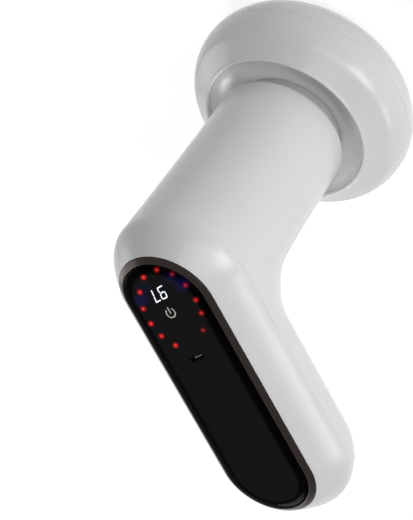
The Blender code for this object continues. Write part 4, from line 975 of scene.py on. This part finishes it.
def rim_arc(inset, start, end, steps):
    return arc((DISC_RADIUS - RIM_ROUNDING, EQUATOR_Z), RIM_ROUNDING - inset, start, end, steps)


def rim_angle(radius, inset=0.0):
    """The angle in degrees, from the rim's widest part, at which its rounding has this radius."""
    return math.degrees(math.acos((radius - (DISC_RADIUS - RIM_ROUNDING)) / (RIM_ROUNDING - inset)))


def bent(start, through, end, steps):
    """Points on a smooth bend from start towards end, which it stops short of."""
    shares = [step / steps for step in range(steps)]
    return [tuple(start * (1 - t) ** 2 + through * 2 * t * (1 - t) + end * t**2) for t in shares]


# The lip's bead meets the slope this share of its height further out and up, and the cover's inner side keeps
# this far below the lip.
BEAD_OUT = 0.3
BEAD_UP = 0.4
LIP_CLEAR = 0.0004
SLOPE_STEPS = 8
HOLLOW_STEPS = 24


class MASSAGER_OT_head_cover(bpy.types.Operator):
    """Make the white head's rear cover with its recess, lip and crease"""

    bl_idname = "massager.head_cover"
    bl_label = "Head cover"

    def execute(self, context):
        shell = context.scene.massager_shell
        bead = context.scene.massager_head.bead
        crease = rim_angle(CREASE_RADIUS)
        foot = EQUATOR_Z + shell.seam / 2
        lip = (LIP_RADIUS, LIP_Z - LIP_ROUNDING)
        depth = lip[1] - RECESS_FLOOR_Z
        reach = lip[0] - LIP_ROUNDING - RECESS_FLOOR_RADIUS
        turns = [math.pi / 2 * step / HOLLOW_STEPS for step in range(HOLLOW_STEPS)]
        hollow = [(reach * math.sin(t), depth * (1 - math.cos(t))) for t in turns]
        hollow = [(RECESS_FLOOR_RADIUS + out, RECESS_FLOOR_Z + up) for out, up in hollow]
        crease_point = Vector(rim_arc(0.0, crease, crease, 1)[0])
        soft_end = Vector(rim_arc(0.0, crease - CREASE_SOFTNESS, crease, 1)[0])
        foot_radius = LIP_RADIUS + LIP_ROUNDING + bead * BEAD_OUT
        bead_foot = Vector((foot_radius, LIP_Z - LIP_ROUNDING + bead * BEAD_UP))
        soft_reach = (soft_end - crease_point).length
        soft_start = crease_point + (bead_foot - crease_point).normalized() * soft_reach
        slope = [tuple(bead_foot.lerp(soft_start, step / SLOPE_STEPS)) for step in range(SLOPE_STEPS)]
        slope += bent(soft_start, crease_point, soft_end, 11)
        outer = [(BUSH_BORE, RECESS_FLOOR_Z)] + hollow + arc(lip, LIP_ROUNDING, 180, 20, 12) + slope
        outer += rim_arc(0.0, crease - CREASE_SOFTNESS, 0, 22)[:-1] + [(DISC_RADIUS, foot)]
        inner = [(DISC_RADIUS - COVER_WALL, foot)] + rim_arc(COVER_WALL, 0, crease, 12)[1:]
        inner += [
            (LIP_RADIUS, LIP_Z - COVER_WALL - LIP_CLEAR),
            (LIP_RADIUS - COVER_WALL, LIP_Z - 2 * COVER_WALL),
            (RECESS_FLOOR_RADIUS + COVER_WALL, RECESS_FLOOR_Z - COVER_WALL),
            (BUSH_BORE, RECESS_FLOOR_Z - COVER_WALL),
        ]
        obj = turned("head_cover_skin", outer + inner)
        softened(obj, shell.edge, 60)
        finished(obj, white_shell(shell), "housing", ["head_rear_cover"])
        return {"FINISHED"}


# The ring's front turns in to this far outside its bore, whose edge is rounded. Its spigot keeps this far
# inside the cover's wall, and has this wall and this height.
RING_FRONT = 0.0020
BORE_ROUNDING = 0.0008
SPIGOT_CLEAR = 0.0009
SPIGOT_WALL = 0.0016
SPIGOT_HEIGHT = 0.0040


class MASSAGER_OT_head_ring(bpy.types.Operator):
    """Make the front half of the head's rim"""

    bl_idname = "massager.head_ring"
    bl_label = "Head front ring"

    def execute(self, context):
        shell = context.scene.massager_shell
        bore = PLATE_RADIUS + 2 * PLAY
        front = -rim_angle(bore + RING_FRONT)
        inner_end = -rim_angle(bore + COVER_WALL, COVER_WALL)
        spigot = DISC_RADIUS - COVER_WALL - SPIGOT_CLEAR
        top = EQUATOR_Z - shell.seam / 2
        profile = [(DISC_RADIUS, top)] + rim_arc(0.0, 0, front, 40)[1:]
        profile += arc((bore + BORE_ROUNDING, RIM_FRONT_Z + BORE_ROUNDING), BORE_ROUNDING, -90, -180, 5)
        profile += [(bore, PLATE_BACK_Z)] + rim_arc(COVER_WALL, -8, inner_end, 16)[::-1]
        for height in (top, top + SPIGOT_HEIGHT):
            profile.append((spigot - SPIGOT_WALL, height))
        profile += [(spigot, top + SPIGOT_HEIGHT), (spigot, top)]
        obj = turned("head_ring_skin", profile)
        softened(obj, shell.edge, 60)
        finished(obj, white_shell(shell), "housing", ["head_front_ring"])
        return {"FINISHED"}


class MASSAGER_OT_collar(bpy.types.Operator):
    """Make the grey collar between neck and head"""

    bl_idname = "massager.collar"
    bl_label = "Neck collar"

    def execute(self, context):
        low, high = [corner.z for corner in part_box("neck_collar")]
        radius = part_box("neck_collar")[1].x
        rounding = 0.0010
        side = arc((radius - rounding, low + rounding), rounding, -90, 0, 5)
        side += arc((radius - rounding, high - rounding), rounding, 0, 90, 5)
        obj = turned("neck_collar_skin", [(BUSH_BORE, low)] + side + [(BUSH_BORE, high)])
        grey = moulded_plastic("moulded_grey_abs", linear("#b4b5b7"), 0.42, 0.0005)
        finished(obj, grey, "housing", ["neck_collar"])
        return {"FINISHED"}


# The plate's turned rings: their inner radii, how far out a ring's slope ends, its flat ends and it ends.
RING_RADII = (0.0105, 0.0135, 0.0165, 0.0195)
RING_SLOPE, RING_FLAT, RING_END = 0.0004, 0.0011, 0.0015
# The plate's flat middle, its edge's rounding, its skirt's height and wall, its hub, the screw's bore, the
# seat of the screw's head with its depth, the drive's six-sided socket and the bores of the nodules' stems.
PLATE_MIDDLE = 0.0096
PLATE_ROUNDING = 0.0010
SKIRT_HEIGHT = 0.0040
SKIRT_WALL = 0.0020
PLATE_HUB = 0.0133
PLATE_SCREW_BORE = 0.0018
SCREW_SEAT = 0.0048
SEAT_DEPTH = 0.0023
SOCKET_REACH = 0.0100
STEM_BORE = 0.0028


class MASSAGER_OT_plate(bpy.types.Operator):
    """Make the turning plate with its turned rings and the seats of the nodules"""

    bl_idname = "massager.plate"
    bl_label = "Massage plate"

    def execute(self, context):
        head = context.scene.massager_head
        low, high = PLATE_FACE_Z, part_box("massage_plate")[1].z
        skirt_high = PLATE_BACK_Z + SKIRT_HEIGHT
        face = [(SCREW_SEAT, low), (PLATE_MIDDLE, low)]
        cut = low + head.groove
        ring = ((0.0, low), (RING_SLOPE, cut), (RING_FLAT, cut), (RING_END, low))
        for radius in RING_RADII:
            face += [(radius + out, height) for out, height in ring]
        rounded = PLATE_RADIUS - PLATE_ROUNDING
        face += [(rounded, low)] + arc((rounded, low + PLATE_ROUNDING), PLATE_ROUNDING, -90, 0, 5)[1:]
        skirt = PLATE_RADIUS - SKIRT_WALL
        back = [(PLATE_RADIUS, skirt_high), (skirt, skirt_high), (skirt, PLATE_BACK_Z)]
        back += [(PLATE_HUB, PLATE_BACK_Z), (PLATE_HUB, high), (PLATE_SCREW_BORE, high)]
        back += [(PLATE_SCREW_BORE, low + SEAT_DEPTH), (SCREW_SEAT, low + SEAT_DEPTH)]
        obj = turned("massage_plate_skin", face + back)
        reach = SOCKET_REACH + PLAY / math.cos(math.pi / 6)
        turns = [math.tau * side / 6 for side in range(6)]
        socket = [(reach * math.cos(t), reach * math.sin(t)) for t in turns]
        cutters = [raised("socket", socket, PLATE_BACK_Z, high + WALL)]
        for place in node_places():
            cutters.append(raised("stem", arc(place, STEM_BORE, 0, 345, 23), low - WALL, PLATE_BACK_Z + WALL))
        without(obj, *cutters)
        look = moulded_plastic("moulded_plate_abs", tuple(head.plate), 0.36, 0.0005)
        finished(obj, look, "massage_head", ["massage_plate"])
        return {"FINISHED"}


def node_places():
    turns = [-math.pi / 2 + math.tau * index / 6 for index in range(6)]
    return [(NODE_CIRCLE * math.cos(t), NODE_CIRCLE * math.sin(t)) for t in turns]


def nodule_look(head):
    return bpy.data.materials.get("moulded_silicone") or soft_silicone("moulded_silicone", tuple(head.nodule))


KNOB_STEPS = 48
# The soft knobs' low ridges: their height, how many waves a full turn would have, and how far the knob's
# side is drawn in for them. Their flat tip has a middle ring at this share.
RIDGE_HEIGHT = 0.00022
RIDGE_WAVES = 8
RIDGE_INSET = 0.0003
TIP_RING = 0.5


def knob(radius, flat, rounding, clear):
    """A soft knob from its rounded foot down to its flat tip at height zero, with low ridges round it. The
    side starts this clear of the foot's top."""
    under = PLATE_FACE_Z - PLAY
    points = [(radius - rounding, under)]
    points += arc((radius - rounding, under - rounding), rounding, 90, 0, 4)[1:]
    for step in range(KNOB_STEPS + 1):
        turn = math.pi / 2 * step / KNOB_STEPS
        swell = RIDGE_HEIGHT * math.sin(turn * RIDGE_WAVES) * math.sin(min(turn * 2, math.pi))
        across = flat + (radius - flat - RIDGE_INSET) * math.cos(turn) + swell * math.cos(turn)
        height = under * (1 - math.sin(turn))
        if height < under - clear:
            points.append((across, height))
    return points + [(flat * TIP_RING, 0.0), (0.0, 0.0)]


# A nodule's stem, its foot's rounding, its tip's flat and where its side starts, and the centre cap's.
STEM_RADIUS = 0.0025
STEM_LENGTH = 0.0036
NODE_FOOT, NODE_FLAT, NODE_CLEAR = 0.0006, 0.0020, 0.0011
CAP_RADIUS = 0.0085
CAP_FOOT, CAP_FLAT, CAP_CLEAR = 0.0005, 0.0035, 0.0010


class MASSAGER_OT_nodules(bpy.types.Operator):
    """Make the six soft nodules: one is modelled and the rest are copies"""

    bl_idname = "massager.nodules"
    bl_label = "Nodules"

    def execute(self, context):
        head = context.scene.massager_head
        under = PLATE_FACE_Z - PLAY
        stem = [(0.0, under + STEM_LENGTH), (STEM_RADIUS, under + STEM_LENGTH), (STEM_RADIUS, under)]
        profile = stem + knob(NODE_RADIUS, NODE_FLAT, NODE_FOOT, NODE_CLEAR)
        first = turned("nodule", profile, steps=72, closed=False)
        for index, (x, y) in enumerate(node_places()):
            only(first)
            bpy.ops.object.duplicate(linked=False)
            obj = named(f"nodule_{index + 1}")
            bpy.ops.object.mode_set(mode="EDIT")
            bpy.ops.mesh.select_all(action="SELECT")
            bpy.ops.transform.translate(value=(x, y, 0.0))
            leave_edit()
            finished(obj, nodule_look(head), "massage_head", [f"massage_node_{index + 1}"])
        bpy.data.meshes.remove(first.data)
        return {"FINISHED"}


class MASSAGER_OT_cap(bpy.types.Operator):
    """Make the soft cap over the plate's screw"""

    bl_idname = "massager.cap"
    bl_label = "Centre cap"

    def execute(self, context):
        head = context.scene.massager_head
        profile = [(0.0, PLATE_FACE_Z - PLAY)] + knob(CAP_RADIUS, CAP_FLAT, CAP_FOOT, CAP_CLEAR)
        obj = turned("centre_cap_skin", profile, steps=96, closed=False)
        finished(obj, nodule_look(head), "massage_head", ["centre_cap"])
        return {"FINISHED"}


def paint(names, look):
    """Gives CAD nodes that keep their shape a material through their own slots."""
    for name in names:
        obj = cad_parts[name]
        if not obj.material_slots:
            obj.data.materials.append(look)
        for material_slot in obj.material_slots:
            material_slot.link = "OBJECT"
            material_slot.material = look


SCREWS = ["plate_screw", "shell_screw_upper", "shell_screw_lower"]
SCREWS += [f"head_screw_{index}" for index in range(1, 4)]
# Machining lines even in all directions, or drawn out round the axis.
EVEN = (1.0, 1.0, 1.0)
ROUND = (1.0, 1.0, 0.1)
# Each bare metal's nodes, name, colour and roughness, and then its scratches' width in metres and direction.
METALS = (
    (["sun_gear"], "machined_brass", "#d9b25f", 0.28),
    (["spindle_bush"], "sintered_bronze", "#b08a52", 0.5, 0.0003, EVEN),
    (["carrier"], "turned_steel", "#a9abae", 0.3, 0.0005, ROUND),
    (["motor_can"], "zinc_plated_steel", "#b9bcc0", 0.34),
    (["motor_shaft"], "ground_steel", "#c4c6c9", 0.2, 0.0004, ROUND),
    (["drive_hub"], "die_cast_zinc", "#9fa1a4", 0.45, 0.0015, EVEN),
    (SCREWS, "zinc_plated_screw", "#c8cbd0", 0.25, 0.0004, ROUND),
    (["touch_pad"], "spring_copper", "#c87b4f", 0.32),
)


class MASSAGER_OT_inside(bpy.types.Operator):
    """Give the boards, cells, motor, gears, screws and wires their materials"""

    bl_idname = "massager.inside"
    bl_label = "Inner parts"

    def execute(self, context):
        inside = context.scene.massager_inside
        panel = context.scene.massager_panel
        paint(["main_board", "charge_board"], solder_mask("solder_mask", tuple(inside.board)))
        black = moulded_plastic("moulded_black_abs", tuple(inside.carrier_plastic), 0.5, 0.0005)
        paint(["battery_tray", "motor_end_cap", "gear_case", "gearbox_cover"], black)
        paint(["battery_cell_1", "battery_cell_2"], shrink_sleeve("shrink_sleeve", tuple(inside.sleeve)))
        planets = [f"planet_gear_{index}" for index in range(1, 4)]
        paint(planets, gear_nylon("natural_nylon", tuple(inside.nylon)))
        for names, look_name, colour, *surface in METALS:
            paint(names, metal(look_name, linear(colour), *surface))
        paint(["lens_gasket"], soft_silicone("foam_gasket", linear("#1c1c1e")))
        paint(["digit_display"], moulded_plastic("display_epoxy", linear("#1a1a1d"), 0.18, 0.0008))
        lights = [f"led_{index:02d}" for index in range(1, 13)]
        paint(lights, lit_mark("light_epoxy", tuple(panel.light), 0.5, 0.0012))
        paint(["motor_lead_red", "battery_lead_red"], wire_sleeve("wire_sleeve_red", linear("#b01818")))
        paint(["motor_lead_black", "battery_lead_black"], wire_sleeve("wire_sleeve_black", linear("#161617")))
        return {"FINISHED"}


# Each lamp's direction from the object in degrees from +X and from the floor, its width in metres and its
# watts. All hang at one distance from the middle of the object and look at it.
LAMP_DISTANCE = 1.5
LAMP_AIM = Vector((0.0, -0.03, 0.1))
LAMPS = (
    ("key_lamp", 8, 17, 0.75, 8.0),
    ("front_lamp", 38, 38, 1.2, 5.6),
    ("low_lamp", 325, 10, 0.6, 3.2),
    ("back_lamp", 176, 18, 1.2, 6.6),
    ("far_lamp", 240, 28, 0.5, 6.0),
)
SKY_STRENGTH = 0.02
PAPER_GLOW = 0.6
# What fitting the camera to the photograph gave: its two directions, and in pixels the frame's height and
# middle, the focal length and where the point that it aims at shows.
VIEW_UP = Vector((0.0526, 0.7583, -0.6504))
VIEW_BACK = Vector((0.6199, 0.4859, 0.6168))
FRAME_HEIGHT = 520.0
FRAME_MIDDLE = (206.5, 260.0)
FOCAL_LENGTH = 3771.0
AIM_PLACE = (166.77, 301.97)
SENSOR_HEIGHT = 36.0


class MASSAGER_OT_stage(bpy.types.Operator):
    """Lay the floor, hang the lamps and set the camera"""

    bl_idname = "massager.stage"
    bl_label = "Studio"

    def execute(self, context):
        stage = context.scene.massager_stage
        scene = context.scene
        scene.view_settings.view_transform = "Standard"
        bpy.ops.object.select_all(action="DESELECT")
        bpy.ops.mesh.primitive_plane_add(size=stage.floor_size)
        floor = named("studio_floor")
        floor.data.materials.append(self.floor_look(tuple(stage.floor)))
        world = bpy.data.worlds.new("studio_air")
        scene.world = world
        world.use_nodes = True
        tree = world.node_tree
        sky = tree.nodes["Background"]
        sky.inputs["Color"].default_value = linear("#ffffff")
        sky.inputs["Strength"].default_value = SKY_STRENGTH
        white = node(tree, "Background", [("Color", linear("#ffffff")), ("Strength", 1.0)])
        inputs = [(0, self.seen_rays(tree)), (1, sky.outputs[0]), (2, white.outputs[0])]
        mixed = node(tree, "MixShader", inputs)
        tree.links.new(mixed.outputs[0], tree.nodes["World Output"].inputs["Surface"])
        for name, azimuth, elevation, size, watts in LAMPS:
            self.lamp(name, azimuth, elevation, size, watts * stage.lamp_level)
        self.camera(scene, stage.distance)
        return {"FINISHED"}

    def camera(self, scene, distance):
        """Sets the camera at the photograph's angle and framing."""
        data = bpy.data.cameras.new("camera")
        camera = bpy.data.objects.new("camera", data)
        scene.collection.objects.link(camera)
        scene.camera = camera
        aim = Vector((0.0, 0.0, LENS_Z))
        back = VIEW_BACK.normalized()
        right = VIEW_UP.cross(back).normalized()
        axes = Matrix((right, back.cross(right), back)).transposed().to_4x4()
        camera.matrix_world = Matrix.Translation(aim + back * distance) @ axes
        data.sensor_fit = "VERTICAL"
        data.sensor_height = SENSOR_HEIGHT
        data.lens = FOCAL_LENGTH / FRAME_HEIGHT * SENSOR_HEIGHT
        data.shift_x = (FRAME_MIDDLE[0] - AIM_PLACE[0]) / FRAME_HEIGHT
        data.shift_y = (AIM_PLACE[1] - FRAME_MIDDLE[1]) / FRAME_HEIGHT
        data.clip_end = 20.0

    def lamp(self, name, azimuth, elevation, size, watts):
        """Hangs a round soft lamp that looks at the middle of the object."""
        bpy.ops.object.light_add(type="AREA")
        lamp = bpy.context.active_object
        lamp.name = lamp.data.name = name
        lamp.data.shape = "DISK"
        lamp.data.size = size
        lamp.data.energy = watts
        turn, rise = math.radians(azimuth), math.radians(elevation)
        ahead = Vector((math.cos(rise) * math.cos(turn), math.cos(rise) * math.sin(turn), math.sin(rise)))
        lamp.location = LAMP_AIM + ahead * LAMP_DISTANCE
        lamp.rotation_euler = ahead.to_track_quat("Z", "Y").to_euler()

    def seen_rays(self, tree):
        """1 for the rays of the camera, of mirror-like surfaces and of clear ones, and 0 for all others."""
        rays = node(tree, "LightPath").outputs
        inputs = [(0, rays["Is Glossy Ray"]), (1, rays["Is Transmission Ray"])]
        inputs = [(0, rays["Is Camera Ray"]), (1, node(tree, "Math", inputs).outputs[0])]
        return node(tree, "Math", inputs, use_clamp=True).outputs[0]

    def floor_look(self, colour):
        """Seamless studio paper: matt and even. The camera, glossy surfaces and clear ones see it near white,
        and it still takes the object's shadow."""
        look, tree, place = blank("studio_paper", Roughness=0.9)
        lumps(tree, place, 0.05, 2.0, tint=(shade_of(colour, 0.985), colour))
        inputs = [(0, self.seen_rays(tree)), (1, PAPER_GLOW)]
        strength = node(tree, "Math", inputs, operation="MULTIPLY").outputs[0]
        white = node(tree, "Emission", [("Color", linear("#ffffff")), ("Strength", strength)])
        paper = tree.nodes["Principled BSDF"]
        added = node(tree, "AddShader", [(0, paper.outputs[0]), (1, white.outputs[0])])
        tree.links.new(added.outputs[0], tree.nodes["Material Output"].inputs["Surface"])
        return look


SETTINGS = (
    ("massager_shell", ShellSettings),
    ("massager_panel", PanelSettings),
    ("massager_head", HeadSettings),
    ("massager_inside", InsideSettings),
    ("massager_stage", StageSettings),
)
OPERATORS = (
    MASSAGER_OT_stage,
    MASSAGER_OT_rear_shell,
    MASSAGER_OT_front_shell,
    MASSAGER_OT_trim,
    MASSAGER_OT_window,
    MASSAGER_OT_lights,
    MASSAGER_OT_digits,
    MASSAGER_OT_power_mark,
    MASSAGER_OT_port,
    MASSAGER_OT_head_cover,
    MASSAGER_OT_head_ring,
    MASSAGER_OT_collar,
    MASSAGER_OT_plate,
    MASSAGER_OT_nodules,
    MASSAGER_OT_cap,
    MASSAGER_OT_inside,
)


class MASSAGER_PT_pieces(bpy.types.Panel):
    """Lists the settings and the operators"""

    bl_idname = "MASSAGER_PT_pieces"
    bl_label = "Massager"
    bl_space_type = "VIEW_3D"
    bl_region_type = "UI"
    bl_category = "Massager"

    def draw(self, context):
        for key, group in SETTINGS:
            box = self.layout.box()
            box.label(text=group.__doc__)
            settings = getattr(context.scene, key)
            for prop in group.__annotations__:
                box.prop(settings, prop)
        for operator in OPERATORS:
            self.layout.operator(operator.bl_idname)


def register():
    for key, group in SETTINGS:
        bpy.utils.register_class(group)
        setattr(bpy.types.Scene, key, bpy.props.PointerProperty(type=group))
    for operator in OPERATORS:
        bpy.utils.register_class(operator)
    bpy.utils.register_class(MASSAGER_PT_pieces)


def unregister():
    bpy.utils.unregister_class(MASSAGER_PT_pieces)
    for operator in reversed(OPERATORS):
        bpy.utils.unregister_class(operator)
    for key, group in reversed(SETTINGS):
        delattr(bpy.types.Scene, key)
        bpy.utils.unregister_class(group)


def main():
    register()
    for operator in OPERATORS:
        group, action = operator.bl_idname.split(".")
        getattr(getattr(bpy.ops, group), action)()


if __name__ == "__main__":
    main()
